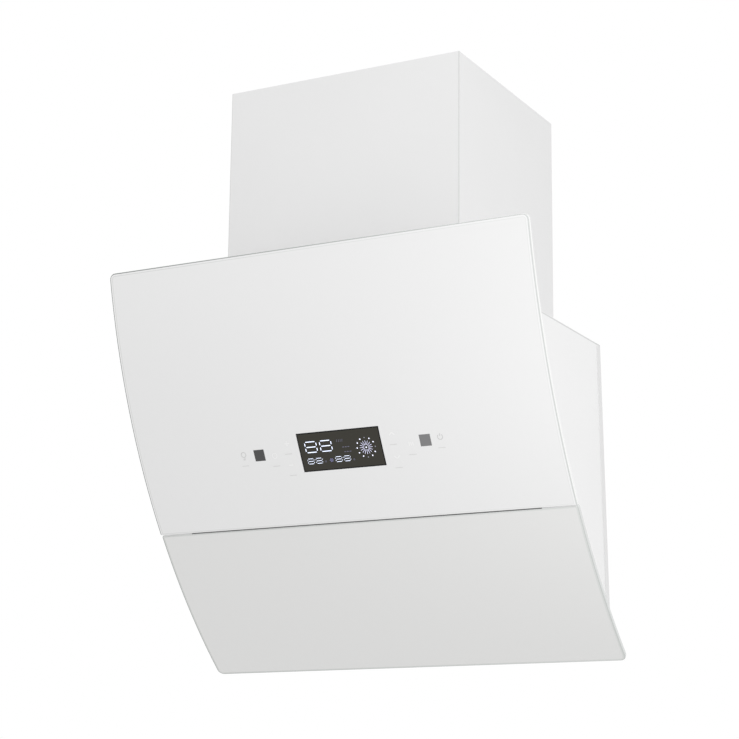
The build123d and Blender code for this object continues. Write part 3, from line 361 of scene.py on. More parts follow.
def smokedAcrylic():
    # smoked acrylic of the display and sensors behind the glass
    look = {"tint": "171616", "streak": "211F1F", "scale": 20.0}
    material, place = blankMaterial("smokedAcrylic")
    streak = addNode(material, "ShaderNodeTexNoise", {"Vector": place, "Scale": 1 / (look["scale"] * mm)})
    color = addNode(material, "ShaderNodeMix", {0: streak, 6: srgb(look["tint"]), 7: srgb(look["streak"])}, 2,
                    data_type="RGBA")
    shader = addNode(material, "ShaderNodeBsdfPrincipled",
                     {"Base Color": color, "Roughness": 0.12, "IOR": 1.49})
    addNode(material, "ShaderNodeOutputMaterial", {"Surface": shader})
    return material


def solderMask():
    # glass-fibre board under green solder mask, with the copper traces showing faintly through; a row of the
    # brick texture takes a quarter of its unit
    look = {"mask": "1F5A36", "trace": "2F7748", "pitch": 3.0, "rowShare": 0.25, "line": 0.03}
    material, place = blankMaterial("greenSolderMask")
    traces = addNode(material, "ShaderNodeTexBrick", {
        "Vector": place, "Scale": look["rowShare"] / (look["pitch"] * mm), "Mortar Size": look["line"],
        "Color1": srgb(look["mask"]), "Color2": srgb(look["mask"]), "Mortar": srgb(look["trace"]),
    })
    shader = addNode(material, "ShaderNodeBsdfPrincipled",
                     {"Base Color": traces, "Roughness": 0.35, "IOR": 1.55})
    addNode(material, "ShaderNodeOutputMaterial", {"Surface": shader})
    return material


def galvanisedSheet():
    # hot-dip galvanised sheet: flat zinc crystals of different greys
    look = {"light": "C6CACC", "dark": "9DA2A6", "spangle": 7.0}
    material, place = blankMaterial("galvanisedSheet")
    spangle = addNode(material, "ShaderNodeTexVoronoi",
                      {"Vector": place, "Scale": 1 / (look["spangle"] * mm)}, "Color")
    grey = addNode(material, "ShaderNodeSeparateColor", {"Color": spangle})
    color = addNode(material, "ShaderNodeMix", {0: grey, 6: srgb(look["dark"]), 7: srgb(look["light"])}, 2,
                    data_type="RGBA")
    shader = addNode(material, "ShaderNodeBsdfPrincipled",
                     {"Base Color": color, "Metallic": 1.0, "Roughness": 0.4})
    addNode(material, "ShaderNodeOutputMaterial", {"Surface": shader})
    return material


def motorCore():
    # varnished laminations, 0.5 mm thick but drawn at 2 mm to show, with enamelled copper coils at both ends;
    # the iron lies between two places along X, in metres
    look = {
        "varnish": "3B3734", "cut": "6C6864", "copper": "A4552A", "wire": "C27843", "lamination": 1.974,
        "wireBand": 1.974, "tangle": 3.0, "ironFrom": 0.024, "ironTo": 0.052, "wavePeriod": math.tau / 20,
    }
    material, place = blankMaterial("laminationsAndCopper")
    across = addNode(material, "ShaderNodeSeparateXYZ", {"Vector": place})
    iron = addNode(material, "ShaderNodeMath", {
        0: across, 1: (look["ironFrom"] + look["ironTo"]) / 2, 2: (look["ironTo"] - look["ironFrom"]) / 2,
    }, operation="COMPARE")
    sheets = addNode(material, "ShaderNodeTexWave",
                     {"Vector": place, "Scale": look["wavePeriod"] / (look["lamination"] * mm)})
    wires = addNode(material, "ShaderNodeTexWave", {
        "Vector": place, "Scale": look["wavePeriod"] / (look["wireBand"] * mm), "Distortion": look["tangle"],
    }, bands_direction="Z")
    core = addNode(material, "ShaderNodeMix", {0: sheets, 6: srgb(look["varnish"]), 7: srgb(look["cut"])}, 2,
                   data_type="RGBA")
    coils = addNode(material, "ShaderNodeMix", {0: wires, 6: srgb(look["copper"]), 7: srgb(look["wire"])}, 2,
                    data_type="RGBA")
    color = addNode(material, "ShaderNodeMix", {0: iron, 6: coils, 7: core}, 2, data_type="RGBA")
    shader = addNode(material, "ShaderNodeBsdfPrincipled",
                     {"Base Color": color, "Metallic": 0.2, "Roughness": 0.4})
    addNode(material, "ShaderNodeOutputMaterial", {"Surface": shader})
    return material


def washedAluminium():
    # washed aluminium of the grease filter and lamp rings: bright, with fine rolling lines
    look = {"light": "CFD1D2", "dark": "A6A9AB", "line": 0.7, "drawnOut": 0.05}
    material, place = blankMaterial("washedAluminium")
    stretch = addNode(material, "ShaderNodeMapping", {"Vector": place, "Scale": (look["drawnOut"], 1.0, 1.0)})
    lines = addNode(material, "ShaderNodeTexNoise", {"Vector": stretch, "Scale": 1 / (look["line"] * mm)})
    color = addNode(material, "ShaderNodeMix", {0: lines, 6: srgb(look["dark"]), 7: srgb(look["light"])}, 2,
                    data_type="RGBA")
    shader = addNode(material, "ShaderNodeBsdfPrincipled",
                     {"Base Color": color, "Metallic": 1.0, "Roughness": 0.33})
    addNode(material, "ShaderNodeOutputMaterial", {"Surface": shader})
    return material


def layeredFoil():
    # packed layers of expanded foil behind the front mesh: dull strands, with painted shade in the gaps
    # between them
    look = {"strand": "85878A", "gap": "55575A", "cell": 8.0, "core": 0.04, "edge": 0.3, "depth": 1.0}
    material, place = blankMaterial("layeredFoil")
    cells = addNode(material, "ShaderNodeTexVoronoi", {"Vector": place, "Scale": 1 / (look["cell"] * mm)},
                    feature="DISTANCE_TO_EDGE")
    strands = addNode(material, "ShaderNodeMapRange", {
        "Value": cells, "From Min": look["core"], "From Max": look["edge"], "To Min": 1.0, "To Max": 0.0,
    })
    color = addNode(material, "ShaderNodeMix", {0: strands, 6: srgb(look["gap"]), 7: srgb(look["strand"])}, 2,
                    data_type="RGBA")
    bump = addNode(material, "ShaderNodeBump",
                   {"Height": strands, "Strength": 0.3, "Distance": look["depth"] * mm})
    shader = addNode(material, "ShaderNodeBsdfPrincipled",
                     {"Base Color": color, "Metallic": 0.9, "Roughness": 0.4, "Normal": bump})
    addNode(material, "ShaderNodeOutputMaterial", {"Surface": shader})
    return material


def frostedLens():
    # frosted polycarbonate over the lamps: milky, with fine prisms that hide the chips
    look = {"milk": "F8F8F6", "prism": "EDEDEB", "pitch": 1.6, "depth": 0.3}
    material, place = blankMaterial("frostedPolycarbonate")
    prisms = addNode(material, "ShaderNodeTexVoronoi", {"Vector": place, "Scale": 1 / (look["pitch"] * mm)})
    color = addNode(material, "ShaderNodeMix", {0: prisms, 6: srgb(look["milk"]), 7: srgb(look["prism"])}, 2,
                    data_type="RGBA")
    bump = addNode(material, "ShaderNodeBump",
                   {"Height": prisms, "Strength": 0.3, "Distance": look["depth"] * mm})
    shader = addNode(material, "ShaderNodeBsdfPrincipled", {
        "Base Color": color, "Roughness": 0.3, "IOR": 1.58, "Transmission Weight": 0.15, "Normal": bump,
    })
    addNode(material, "ShaderNodeOutputMaterial", {"Surface": shader})
    return material


def milkyCup():
    # natural moulded polypropylene of the oil cup: milky, and only a little clear
    look = {"clear": "F6F6F4", "thick": "EAECEC", "flow": 18.0}
    material, place = blankMaterial("naturalPolypropylene")
    flow = addNode(material, "ShaderNodeTexNoise", {"Vector": place, "Scale": 1 / (look["flow"] * mm)})
    color = addNode(material, "ShaderNodeMix", {0: flow, 6: srgb(look["clear"]), 7: srgb(look["thick"])}, 2,
                    data_type="RGBA")
    shader = addNode(material, "ShaderNodeBsdfPrincipled",
                     {"Base Color": color, "Roughness": 0.25, "IOR": 1.49, "Transmission Weight": 0.2})
    addNode(material, "ShaderNodeOutputMaterial", {"Surface": shader})
    return material


def litInk(name, code, edge, glow):
    # segment or dot of the display: softly uneven, and bright by itself
    look = {"cloud": 3.0}
    material, place = blankMaterial(name)
    cloud = addNode(material, "ShaderNodeTexNoise", {"Vector": place, "Scale": 1 / (look["cloud"] * mm)})
    color = addNode(material, "ShaderNodeMix", {0: cloud, 6: srgb(code), 7: srgb(edge)}, 2,
                    data_type="RGBA")
    shader = addNode(material, "ShaderNodeBsdfPrincipled", {
        "Base Color": color, "Roughness": 0.3, "Emission Color": color, "Emission Strength": glow,
    })
    addNode(material, "ShaderNodeOutputMaterial", {"Surface": shader})
    return material


def screenInk(name, code, thin):
    # screen-printed symbols, drawn a hair in front of the glass: barely darker or lighter than the paint
    look = {"grain": 2.5}
    material, place = blankMaterial(name)
    grain = addNode(material, "ShaderNodeTexNoise", {"Vector": place, "Scale": 1 / (look["grain"] * mm)})
    color = addNode(material, "ShaderNodeMix", {0: grain, 6: srgb(code), 7: srgb(thin)}, 2,
                    data_type="RGBA")
    shader = addNode(material, "ShaderNodeBsdfPrincipled",
                     {"Base Color": color, "Roughness": 0.25, "IOR": 1.5})
    addNode(material, "ShaderNodeOutputMaterial", {"Surface": shader})
    return material


def ledPhosphor():
    # yellow phosphor cast over the chips of the lamps
    look = {"yellow": "E8D23A", "pale": "F0E27A", "cloud": 1.5}
    material, place = blankMaterial("ledPhosphor")
    cloud = addNode(material, "ShaderNodeTexNoise", {"Vector": place, "Scale": 1 / (look["cloud"] * mm)})
    color = addNode(material, "ShaderNodeMix", {0: cloud, 6: srgb(look["yellow"]), 7: srgb(look["pale"])}, 2,
                    data_type="RGBA")
    shader = addNode(material, "ShaderNodeBsdfPrincipled", {"Base Color": color, "Roughness": 0.35})
    addNode(material, "ShaderNodeOutputMaterial", {"Surface": shader})
    return material


# middle X, middle along the curve, width and height in mm, colour, share of the gloss that stays
windows = {
    "frame": (2.1, 329.0, 118.2, 51.6, "050505", 0.2),
    "screen": (2.1, 329.0, 114.8, 48.2, "38362F", 0.2),
    "leftSensor": (-116.4, 331.0, 15.2, 15.2, "3A3A3B", 1.0),
    "rightSensor": (121.4, 331.0, 15.2, 15.2, "7C7C7D", 1.0),
}
# where the lower glass, set back a little, starts along the curve
lowestOut = math.asin((curveZ - curve["lowerEdge"][1]) / (curve["radius"] - curve["flapSetBack"]))
flapBottom = (lowAngle + math.pi - lowestOut) * curve["radius"]
# each row of a rim: how far in it reaches, in mm, and its colour at the left end and at the right end, the
# left end darker as painted shade; at the split the rims are narrower than elsewhere by these trims, also in
# mm
splitTrim = {"upper": 1.3, "lower": 1.4}
upperLook = {
    "radius": curve["radius"], "low": curve["upperBottom"] - splitTrim["upper"] * mm,
    "high": 2 * curve["radius"] * math.asin(chord / 2 / curve["radius"]),
    "lowCorner": 0.002, "highCorner": 0.008,
    "white": "F3F3F3", "edge": "F6F7F6", "paint": "E9E9E9", "windows": windows.values(),
    "rim": ((1.5, "878C8A", "D0D3D1"), (3.5, "F4F4F4", "F8F8F8"), (4.4, "E1E2E1", "EDEEED")),
}
# the lower panel's white, edge and rims are darker than the upper panel's: painted shade, as it faces down
lowerLook = {
    "radius": curve["radius"] - curve["flapSetBack"], "low": flapBottom,
    "high": curve["flapTop"] + splitTrim["lower"] * mm, "lowCorner": 0.008, "highCorner": 0.002,
    "white": "ECECEB", "edge": "D8DAD9", "paint": "E9E9E9", "windows": (),
    "rim": ((1.5, "989D9A", "CDD0CE"), (3.5, "DBDDDB", "E2E4E2")),
}
whiteSteel = powderCoat("whitePowderCoatedSteel", "F4F4F4", "F0F0F0")
coverSteel = powderCoat("coverPowderCoatedSteel", "EBEBEB", "E7E7E7")
upperGlass = paintedGlass("backPaintedGlassUpper", upperLook)
lowerGlass = paintedGlass("backPaintedGlassLower", lowerLook)
aluminium = washedAluminium()
steel = turnedSteel()
# the material of each slot; a few nodes get one of their own after it
bySlot = {
    "white_steel": whiteSteel, "white_glass": upperGlass, "zinc_steel": zincSteel(), "screw_steel": steel,
    "black_plastic": mouldedAbs(), "black_rubber": softRubber("blackEpdm", "2A2A2B", "3A3A3B"),
    "display_glass": smokedAcrylic(), "circuit_board": solderMask(), "galvanised": galvanisedSheet(),
    "motor_core": motorCore(), "filter_aluminium": aluminium, "lamp_metal": aluminium,
    "lamp_lens": frostedLens(), "clear_plastic": milkyCup(),
}
slotOf = {row["node"]: row["material_slot"] for row in frame["record"]["subparts"]}
for name, cadNode in nodes.items():
    cadNode.data.materials.clear()
    cadNode.data.materials.append(bySlot[slotOf[name]])
nodes["lower_glass"].data.materials[0] = lowerGlass
nodes["filter_core"].data.materials[0] = layeredFoil()
for name in ("outer_chimney", "inner_chimney"):
    nodes[name].data.materials[0] = coverSteel
# the back panel gets a darker copy of the white coat: painted shade along the rear edge of the body
nodes["back_panel"].data.materials[0] = powderCoat("shadedBackPowderCoat", "E6E6E6", "E2E2E2")
nodes["flap_seal"].data.materials[0] = softRubber("greyEpdm", "6E6E6E", "7C7C7C")
print("materials on", len(nodes), "CAD nodes")

# white lips that carry the seal's line on to the ends of the flap, from inner to outer, in mm from the middle
seamLip = {"inner": 252.6, "outer": 297.0}
lips = []
for side in (-1, 1):
    lip = copyOf("flap_seal", "flap_seam_lip")
    length = seamLip["outer"] - seamLip["inner"]
    sealLength = (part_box("flap_seal")[1][0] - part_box("flap_seal")[0][0]) / mm
    lip.scale = (length / sealLength, 1, 1)
    lip.location = (side * (seamLip["inner"] + length / 2) * mm, 0, 0)
    settle(lip)
    lips.append(lip)
dress(joined(lips, "flap_seam_lips"), whiteSteel, "flap")
print("seam lips on the flap")

# plane of the grease filter: its middle as Y and Z in mm, and the direction of its upward side
filterPlane = {"middle": (-138.75, -120.42), "up": (-0.66194, 0.74956)}


def onFilter(x, along, out):
    # frame on the filter, in mm: X across, Y up its slope, Z out towards the room
    up = Vector((0, *filterPlane["up"]))
    away = Vector((1, 0, 0)).cross(up)
    place = Vector((0, *filterPlane["middle"])) + along * up + out * away
    return placed(Vector((x, place.y, place.z)) * mm, Vector((1, 0, 0)), up, away)


# expanded aluminium over the filter: a lattice of long diamonds, with a way left for the latch tray
net = {
    "long": 12.0, "short": 5.6, "strand": 1.25, "flatten": 0.7, "halfWidth": 210.0, "halfHeight": 83.4,
    "out": -1.5, "trayHalf": 20.4, "trayLow": 42.4, "trayLength": 60.0, "cutterHeight": 10.0,
}
cells = 2 * int(net["halfWidth"] / net["long"] + net["halfHeight"] / net["short"])
lattice = start(bpy.ops.mesh.primitive_grid_add, x_subdivisions=cells, y_subdivisions=cells,
                size=cells * math.sqrt(0.5))
bpy.ops.object.mode_set(mode="EDIT")
bpy.ops.transform.rotate(value=math.radians(45), orient_axis="Z", center_override=(0, 0, 0))
bpy.ops.transform.resize(value=(net["long"], net["short"], 1), center_override=(0, 0, 0))
for axis, reach in ((0, net["halfWidth"]), (1, net["halfHeight"])):
    for side in (-1, 1):
        place, normal = [0, 0, 0], [0, 0, 0]
        place[axis], normal[axis] = side * reach, side
        bpy.ops.mesh.select_all(action="SELECT")
        bpy.ops.mesh.bisect(plane_co=place, plane_no=normal, clear_outer=True)
bpy.ops.object.mode_set(mode="OBJECT")
wires = lattice.modifiers.new("strands", "WIREFRAME")
wires.thickness = net["strand"]
wires.use_even_offset = False
bpy.ops.object.modifier_apply(modifier="strands")
trayMiddle = net["trayLow"] + net["trayLength"] / 2
cutter = start(bpy.ops.mesh.primitive_cube_add, size=1, location=(0, trayMiddle, 0))
cutter.scale = (2 * net["trayHalf"], net["trayLength"], net["cutterHeight"])
settle(cutter)
lattice.name = "filter_face_net"
cutAway(lattice, cutter)
lattice.scale = (mm, mm, net["flatten"] * mm)
settle(lattice)
lattice.matrix_world = onFilter(0, 0, net["out"])
settle(lattice)
dress(lattice, aluminium, "housing")
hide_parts("filter_mesh")
print("filter net:", len(lattice.data.polygons), "faces")

# lamp chips, in mm: a ring and a middle one on each board
chips = {"count": 6, "ring": 12.0, "size": 4.2, "height": 0.9, "bevel": 0.4}
squares = []
boardLow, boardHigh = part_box("lamp_boards")
lampX = (boardHigh[0] - (boardHigh[1] - boardLow[1]) / 2) / mm
lampY = (boardLow[1] + boardHigh[1]) / 2 / mm
turns = [number * math.tau / chips["count"] for number in range(chips["count"])]
ring = [(chips["ring"] * math.cos(turn), chips["ring"] * math.sin(turn)) for turn in turns]
for side in (-1, 1):
    for x, y in [(0.0, 0.0), *ring]:
        spot = ((side * lampX + x) * mm, (lampY + y) * mm, boardLow[2] - chips["height"] / 2 * mm)
        chip = start(bpy.ops.mesh.primitive_cube_add, size=1, location=spot)
        chip.scale = (chips["size"] * mm, chips["size"] * mm, chips["height"] * mm)
        settle(chip)
        editAll()
        bpy.ops.mesh.bevel(offset=chips["bevel"] * mm, segments=1)
        bpy.ops.object.mode_set(mode="OBJECT")
        squares.append(chip)
dress(joined(squares, "lamp_chips"), ledPhosphor(), "housing")
print("lamp chips placed")

# cross recess of a screw, in mm
recess = {"length": 3.6, "width": 0.9, "depth": 1.1}


def crossRecesses(nodeName, toHead):
    # the node's screws again, each with a cross recess; toHead points from the shank to the head
    copyOf(nodeName, nodeName + "_cross")
    editAll()
    bpy.ops.mesh.separate(type="LOOSE")
    bpy.ops.object.mode_set(mode="OBJECT")
    screws = list(bpy.context.selected_objects)
    for screw in screws:
        points = [vertex.co for vertex in screw.data.vertices]
        middle = sum((Vector(corner) for corner in screw.bound_box), Vector()) / 8
        away = Vector(toHead(middle))
        top = max(point.dot(away) for point in points)
        place = middle + away * (top - middle.dot(away))
        blades = []
        for turn in (0, 90):
            blade = start(bpy.ops.mesh.primitive_cube_add, size=1)
            blade.scale = (recess["length"] * mm, recess["width"] * mm, 2 * recess["depth"] * mm)
            blade.rotation_euler = (0, 0, math.radians(turn))
            settle(blade)
            blade.matrix_world = Matrix.Translation(place) @ away.to_track_quat("Z", "Y").to_matrix().to_4x4()
            settle(blade)
            blades.append(blade)
        for blade in blades:
            cutAway(screw, blade)
    piece = joined(screws, nodeName + "_cross")
    dress(piece, steel, "inner_chimney" if nodeName.startswith("ceiling") else "housing")
    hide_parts(nodeName)


crossRecesses("ceiling_bracket_screws", lambda middle: (math.copysign(1, middle.x), 0, 0))
crossRecesses("chimney_screws", lambda middle: (0, 0, 1))
crossRecesses("collar_screws", lambda middle: (0, 0, 1))
print("screw recesses cut")

# sides of the flat shapes; the layer's height over the glass and its thickness, in mm
ink = {"barSides": 6, "discSides": 12, "ringSides": 28, "lift": 0.03, "thick": 0.04}


def flatBar(length, width, x=0.0, y=0.0, turn=0.0):
    # pointed flat bar, its length along Y before it is turned
    bar = start(bpy.ops.mesh.primitive_circle_add, vertices=ink["barSides"], radius=width / 2 * mm,
                fill_type="NGON")
    stretch = (length - width) / 2 * mm
    nearMiddle = 0.01 * width * mm
    bpy.ops.object.mode_set(mode="EDIT")
    selectVertices(bar, lambda co: co.y > nearMiddle)
    bpy.ops.transform.translate(value=(0, stretch, 0))
    selectVertices(bar, lambda co: co.y < -nearMiddle)
    bpy.ops.transform.translate(value=(0, -stretch, 0))
    bpy.ops.object.mode_set(mode="OBJECT")
    bar.rotation_euler = (0, 0, math.radians(turn))
    bar.location = (x * mm, y * mm, 0)
    settle(bar)
    return bar


def flatDisc(radius, x=0.0, y=0.0, sides=ink["discSides"]):
    return start(bpy.ops.mesh.primitive_circle_add, vertices=sides, radius=radius * mm, fill_type="NGON",
                 location=(x * mm, y * mm, 0))


def flatRing(radius, width, x=0.0, y=0.0, gap=0.0):
    # a ring, left open at the top where a gap is asked for
    ring = flatDisc(radius, x, y, ink["ringSides"])
    editAll()
    bpy.ops.mesh.inset(thickness=width * mm)
    bpy.ops.mesh.delete(type="FACE")
    selectVertices(ring, lambda co: abs(co.x) < gap / 2 * mm and co.y > 0)
    bpy.ops.mesh.delete(type="VERT")
    bpy.ops.object.mode_set(mode="OBJECT")
    return ring


def onFace(pieces, name, x, along, material, slot="display_glass"):
    # the flat pieces get a hair of thickness and go to their place on the glass
    piece = joined(pieces, name)
    settle(piece)
    editAll()
    bpy.ops.mesh.extrude_region_move(TRANSFORM_OT_translate={"value": (0, 0, ink["thick"] * mm)})
    bpy.ops.mesh.select_all(action="SELECT")
    bpy.ops.mesh.normals_make_consistent(inside=False)
    bpy.ops.object.mode_set(mode="OBJECT")
    piece.matrix_world = onGlass(x * mm, along * mm, ink["lift"] * mm)
    settle(piece)
    dress(piece, material, "housing")


def digitBars(digit, x):
    # the seven separate segments of an 8
    half, wide, stroke, gap = digit["height"] / 2, digit["width"], digit["stroke"], digit["gap"]
    bars = [flatBar(wide - 2 * gap, stroke, x, y, 90) for y in (-half, 0, half)]
    for side in (-1, 1):
        for y in (-half / 2, half / 2):
            bars.append(flatBar(half - 2 * gap, stroke, x + side * wide / 2, y))
    return bars


# sizes in mm; the middle of each pair is its X and its place along the curve
digits = {
    "big": {
        "middle": (-28.4, 335.6), "height": 13.9, "width": 16.3, "pitch": 21.5, "stroke": 1.3, "gap": 1.4,
    },
    "left": {
        "middle": (-37.6, 316.9), "height": 6.8, "width": 9.0, "pitch": 11.9, "stroke": 0.8, "gap": 0.9,
    },
    "right": {
        "middle": (2.7, 316.8), "height": 6.6, "width": 9.1, "pitch": 12.0, "stroke": 0.8, "gap": 0.9,
    },
}
segmentLit = litInk("litSegment", "E9EFFC", "CCD7F2", 0.95)
segmentDim = litInk("dimSegment", "6C6B80", "5C5B70", 0.25)
for name, digit in digits.items():
    bars = []
    for side in (-0.5, 0.5):
        bars += digitBars(digit, side * digit["pitch"])
    onFace(bars, "digits_" + name, *digit["middle"], segmentLit)

# the fan, in mm: a hub, a ring of dots, some of them faint, and rays from one radius to another
fan = {
    "middle": (38.6, 328.9), "ringRadius": 12.85, "dots": 12, "dotRadius": 0.85, "faint": (0, 3, 9),
    "rays": 16, "rayFrom": 3.0, "rayTo": 9.0, "rayWidth": 0.5, "hub": 0.9,
}
bright = [flatDisc(fan["hub"])]
faint = []
for number in range(fan["dots"]):
    turn = number * math.tau / fan["dots"]
    dot = flatDisc(fan["dotRadius"], fan["ringRadius"] * math.cos(turn), fan["ringRadius"] * math.sin(turn))
    (faint if number in fan["faint"] else bright).append(dot)
onFace(bright, "fan_dots", *fan["middle"], litInk("litDot", "F2F4FF", "E2E6FF", 1.0))
onFace(faint, "fan_dots_faint", *fan["middle"], litInk("faintDot", "8C8D98", "7A7B88", 0.3))
rays = []
for number in range(fan["rays"]):
    turn = number * math.tau / fan["rays"]
    middle = (fan["rayFrom"] + fan["rayTo"]) / 2
    rays.append(flatBar(fan["rayTo"] - fan["rayFrom"], fan["rayWidth"], middle * math.cos(turn),
                        middle * math.sin(turn), math.degrees(turn) - 90))
onFace(rays, "fan_rays", *fan["middle"], litInk("litRay", "E6E6FA", "C8C9EE", 0.9))

# small marks, in mm and degrees: a snow star of six arms, four leaning strokes, two broken lines, two rings
marks = {
    "snow": (-13.9, 316.3), "arm": (1.9, 0.8), "armMiddle": 1.7,
    "strokes": (2.9, 340.8), "stroke": (3.6, 0.6), "strokePitch": 2.6, "strokeLean": -12.0,
    "lines": ((10.1, 332.0), (11.7, 325.7)), "length": 11.0, "lineWidth": 1.0, "lineGap": 0.8,
    "rings": ((-22.6, 315.2), (18.0, 314.6)), "ring": (1.2, 0.5),
}
arms = []
for turn in range(0, 360, 60):
    arm = marks["armMiddle"] * Vector((math.cos(math.radians(turn)), math.sin(math.radians(turn))))
    arms.append(flatBar(*marks["arm"], *arm, turn - 90))
onFace(arms, "mark_snow", *marks["snow"], litInk("purpleMark", "8E8CB8", "7674A4", 0.45))
strokes = []
for step in (-1.5, -0.5, 0.5, 1.5):
    strokes.append(flatBar(*marks["stroke"], step * marks["strokePitch"], 0, marks["strokeLean"]))
onFace(strokes, "mark_strokes", *marks["strokes"], segmentDim)
third = marks["length"] / 3
for number, spot in enumerate(marks["lines"]):
    dashes = []
    for step in (-1, 0, 1):
        dashes.append(flatBar(third - marks["lineGap"], marks["lineWidth"], step * third, 0, 90))
    onFace(dashes, f"mark_line_{number + 1}", *spot, segmentDim)
for number, spot in enumerate(marks["rings"]):
    onFace([flatRing(*marks["ring"])], f"mark_ring_{number + 1}", *spot, segmentDim)
print("display drawn")

# touch symbols, printed so faintly that they only just show: where each one is, and the flat shapes that it
# is made of, with the values that flatBar and flatRing take
touch = {
    "light": (-139.8, 332.4), "timer": (-94.4, 328.6), "plus": (-73.0, 343.2), "minus": (-73.6, 314.4),
    "up": (77.5, 343.2), "down": (78.2, 312.6), "boost": (101.2, 328.1), "power": (142.2, 333.5),
}
symbols = {
    "light": (
        (flatRing, 3.8, 0.8, 0, 1.2), (flatBar, 3.6, 0.8, 0, -4.2, 90), (flatBar, 2.8, 0.8, 0, -5.6, 90),
    ),
    "timer": ((flatRing, 3.9, 1.1), (flatBar, 1.9, 0.9, 0, 1.5), (flatBar, 2.2, 0.9, 0.7, 0, 90)),
    "plus": ((flatBar, 7.0, 1.6, 0, 0, 90), (flatBar, 2.6, 1.6, 0, 2.2), (flatBar, 2.6, 1.6, 0, -2.2)),
    "minus": ((flatBar, 7.0, 1.6, 0, 0, 90),),
    "up": ((flatBar, 5.2, 1.6, -2.0, 0, -45), (flatBar, 5.2, 1.6, 2.0, 0, 45)),
    "down": ((flatBar, 5.2, 1.6, -2.0, 0, 45), (flatBar, 5.2, 1.6, 2.0, 0, -45)),
    "boost": ((flatBar, 5.0, 1.3, -2.6), (flatBar, 5.0, 1.3), (flatBar, 5.0, 1.3, 2.6)),
    "power": ((flatRing, 3.8, 0.8, 0, 0, 3.0), (flatBar, 4.0, 0.9, 0, 2.8)),
}
# the line under each symbol, in mm: how far below and aside of its middle, and its size
underline = {"drop": 13.9, "length": 10.4, "width": 0.9, "aside": -0.6}
paleInk = screenInk("paleInk", "FFFFFF", "FAFAF9")
greyInk = screenInk("greyInk", "D2D2D1", "ECECEB")
darkInk = screenInk("darkInk", "C6C6C5", "DEDEDD")
for name, (x, along) in touch.items():
    tone = darkInk if name in ("light", "power") else paleInk
    shapes = [draw(*sizes) for draw, *sizes in symbols[name]]
    onFace(shapes, "symbol_" + name, x, along, tone, slot="white_glass")
    line = flatBar(underline["length"], underline["width"], turn=90)
    onFace([line], "underline_" + name, x + underline["aside"], along - underline["drop"], greyInk,
           slot="white_glass")
print("touch symbols drawn")


def seenAsBackground(owner):
    # 1 for the rays by which the eye, a gloss or a clear piece sees the stage, 0 for those that light it
    rays = addNode(owner, "ShaderNodeLightPath", output="Is Camera Ray").node.outputs
    seen = addNode(owner, "ShaderNodeMath", {0: rays["Is Camera Ray"], 1: rays["Is Glossy Ray"]},
                   operation="MAXIMUM")
    return addNode(owner, "ShaderNodeMath", {0: seen, 1: rays["Is Transmission Ray"]}, operation="MAXIMUM")


# floor height and size in metres; the glow and the world's level as the hood sees them
stage = {"floor": -3.6, "size": 60.0, "white": "F2F2F2", "seenGlow": 0.35, "world": 0.766}
floor = start(bpy.ops.mesh.primitive_plane_add, size=stage["size"], location=(0, 0, stage["floor"]))
floor.name = "floor"
floorLook = blankMaterial("paleFloor")[0]
matt = addNode(floorLook, "ShaderNodeBsdfPrincipled", {"Base Color": srgb(stage["white"]), "Roughness": 0.9})
glow = addNode(floorLook, "ShaderNodeEmission", {"Color": (1, 1, 1, 1), "Strength": stage["seenGlow"]})
both = addNode(floorLook, "ShaderNodeAddShader", {0: matt, 1: glow})
shader = addNode(floorLook, "ShaderNodeMixShader", {0: seenAsBackground(floorLook), 1: matt, 2: both})
addNode(floorLook, "ShaderNodeOutputMaterial", {"Surface": shader})
floor.data.materials.append(floorLook)

world = bpy.data.worlds.new("softWhite")
bpy.context.scene.world = world
world.use_nodes = True
world.node_tree.nodes.clear()
level = addNode(world, "ShaderNodeMapRange",
                {"Value": seenAsBackground(world), "To Min": stage["world"], "To Max": 1.0})
sky = addNode(world, "ShaderNodeBackground", {"Color": (1, 1, 1, 1), "Strength": level})
addNode(world, "ShaderNodeOutputWorld", {"Surface": sky})

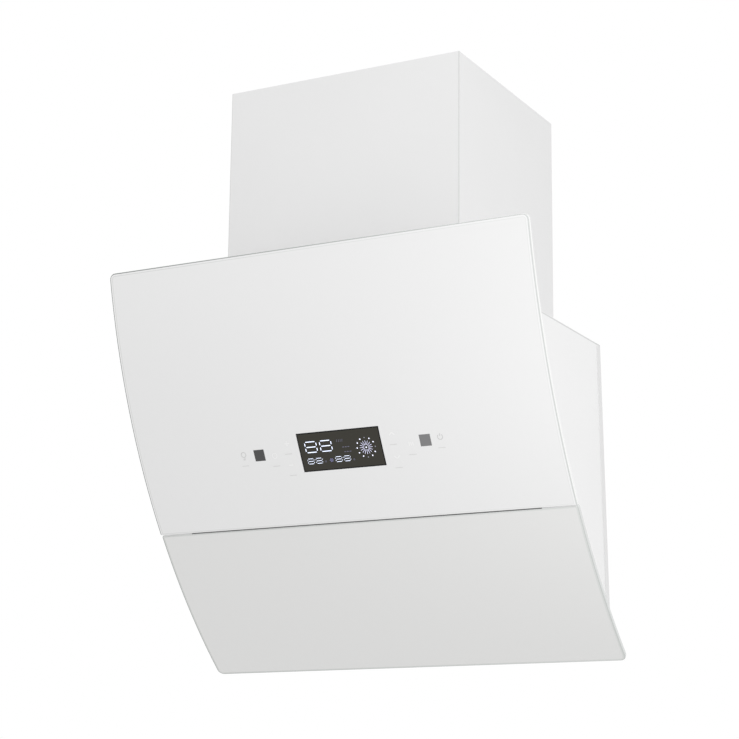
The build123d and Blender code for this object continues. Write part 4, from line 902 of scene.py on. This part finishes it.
# soft boxes, in metres and watts; the two nearest the glass aren't mirrored in it, or it would clip to white
lamps = {
    "nearLamp": {
        "place": (1.5, -1.5, 0.3), "aim": (0.25, -0.25, 0.08), "size": 0.9, "power": 9.2, "mirrored": False,
    },
    "sideLamp": {
        "place": (2.6, -0.4, 0.2), "aim": (0.2, -0.2, 0.0), "size": 1.5, "power": 3.7, "mirrored": True,
    },
    "topLamp": {
        "place": (-0.2, -1.0, 2.6), "aim": (0.0, -0.3, 0.35), "size": 1.4, "power": 15.7, "mirrored": True,
    },
    "glowLamp": {
        "place": (0.5, -0.62, -0.1), "aim": (0.25, -0.27, 0.07), "size": 0.2, "power": 0.187,
        "mirrored": False,
    },
}
for name, lamp in lamps.items():
    light = bpy.data.lights.new(name, "AREA")
    light.energy = lamp["power"]
    light.size = lamp["size"]
    holder = bpy.data.objects.new(name, light)
    holder.location = lamp["place"]
    holder.visible_glossy = lamp["mirrored"]
    holder.rotation_euler = (Vector(lamp["aim"]) - Vector(lamp["place"])).to_track_quat("-Z", "Y").to_euler()
    bpy.context.scene.collection.objects.link(holder)

# the photo's camera: place in metres, turns in degrees, focal length and frame in pixels, sensor in mm
view = {
    "place": (1.2014, -2.4467, -0.4529), "yaw": 28.280, "pitch": 13.274, "roll": 0.622, "focal": 1996.9,
    "frame": 739, "sensor": 36.0,
}
yaw, pitch, roll = (math.radians(view[name]) for name in ("yaw", "pitch", "roll"))
ahead = Vector((-math.sin(yaw) * math.cos(pitch), math.cos(yaw) * math.cos(pitch), math.sin(pitch)))
right = Vector((math.cos(yaw), math.sin(yaw), 0))
up = right.cross(ahead)
tiltedRight = math.cos(roll) * right + math.sin(roll) * up
tiltedUp = math.cos(roll) * up - math.sin(roll) * right
cameraData = bpy.data.cameras.new("photoCamera")
cameraData.sensor_width = view["sensor"]
cameraData.lens = view["focal"] * view["sensor"] / view["frame"]
camera = bpy.data.objects.new("photoCamera", cameraData)
camera.matrix_world = placed(Vector(view["place"]), tiltedRight, tiltedUp, -ahead)
bpy.context.scene.collection.objects.link(camera)
bpy.context.scene.camera = camera
bpy.context.scene.view_settings.view_transform = "Standard"
print("stage, light and camera set")
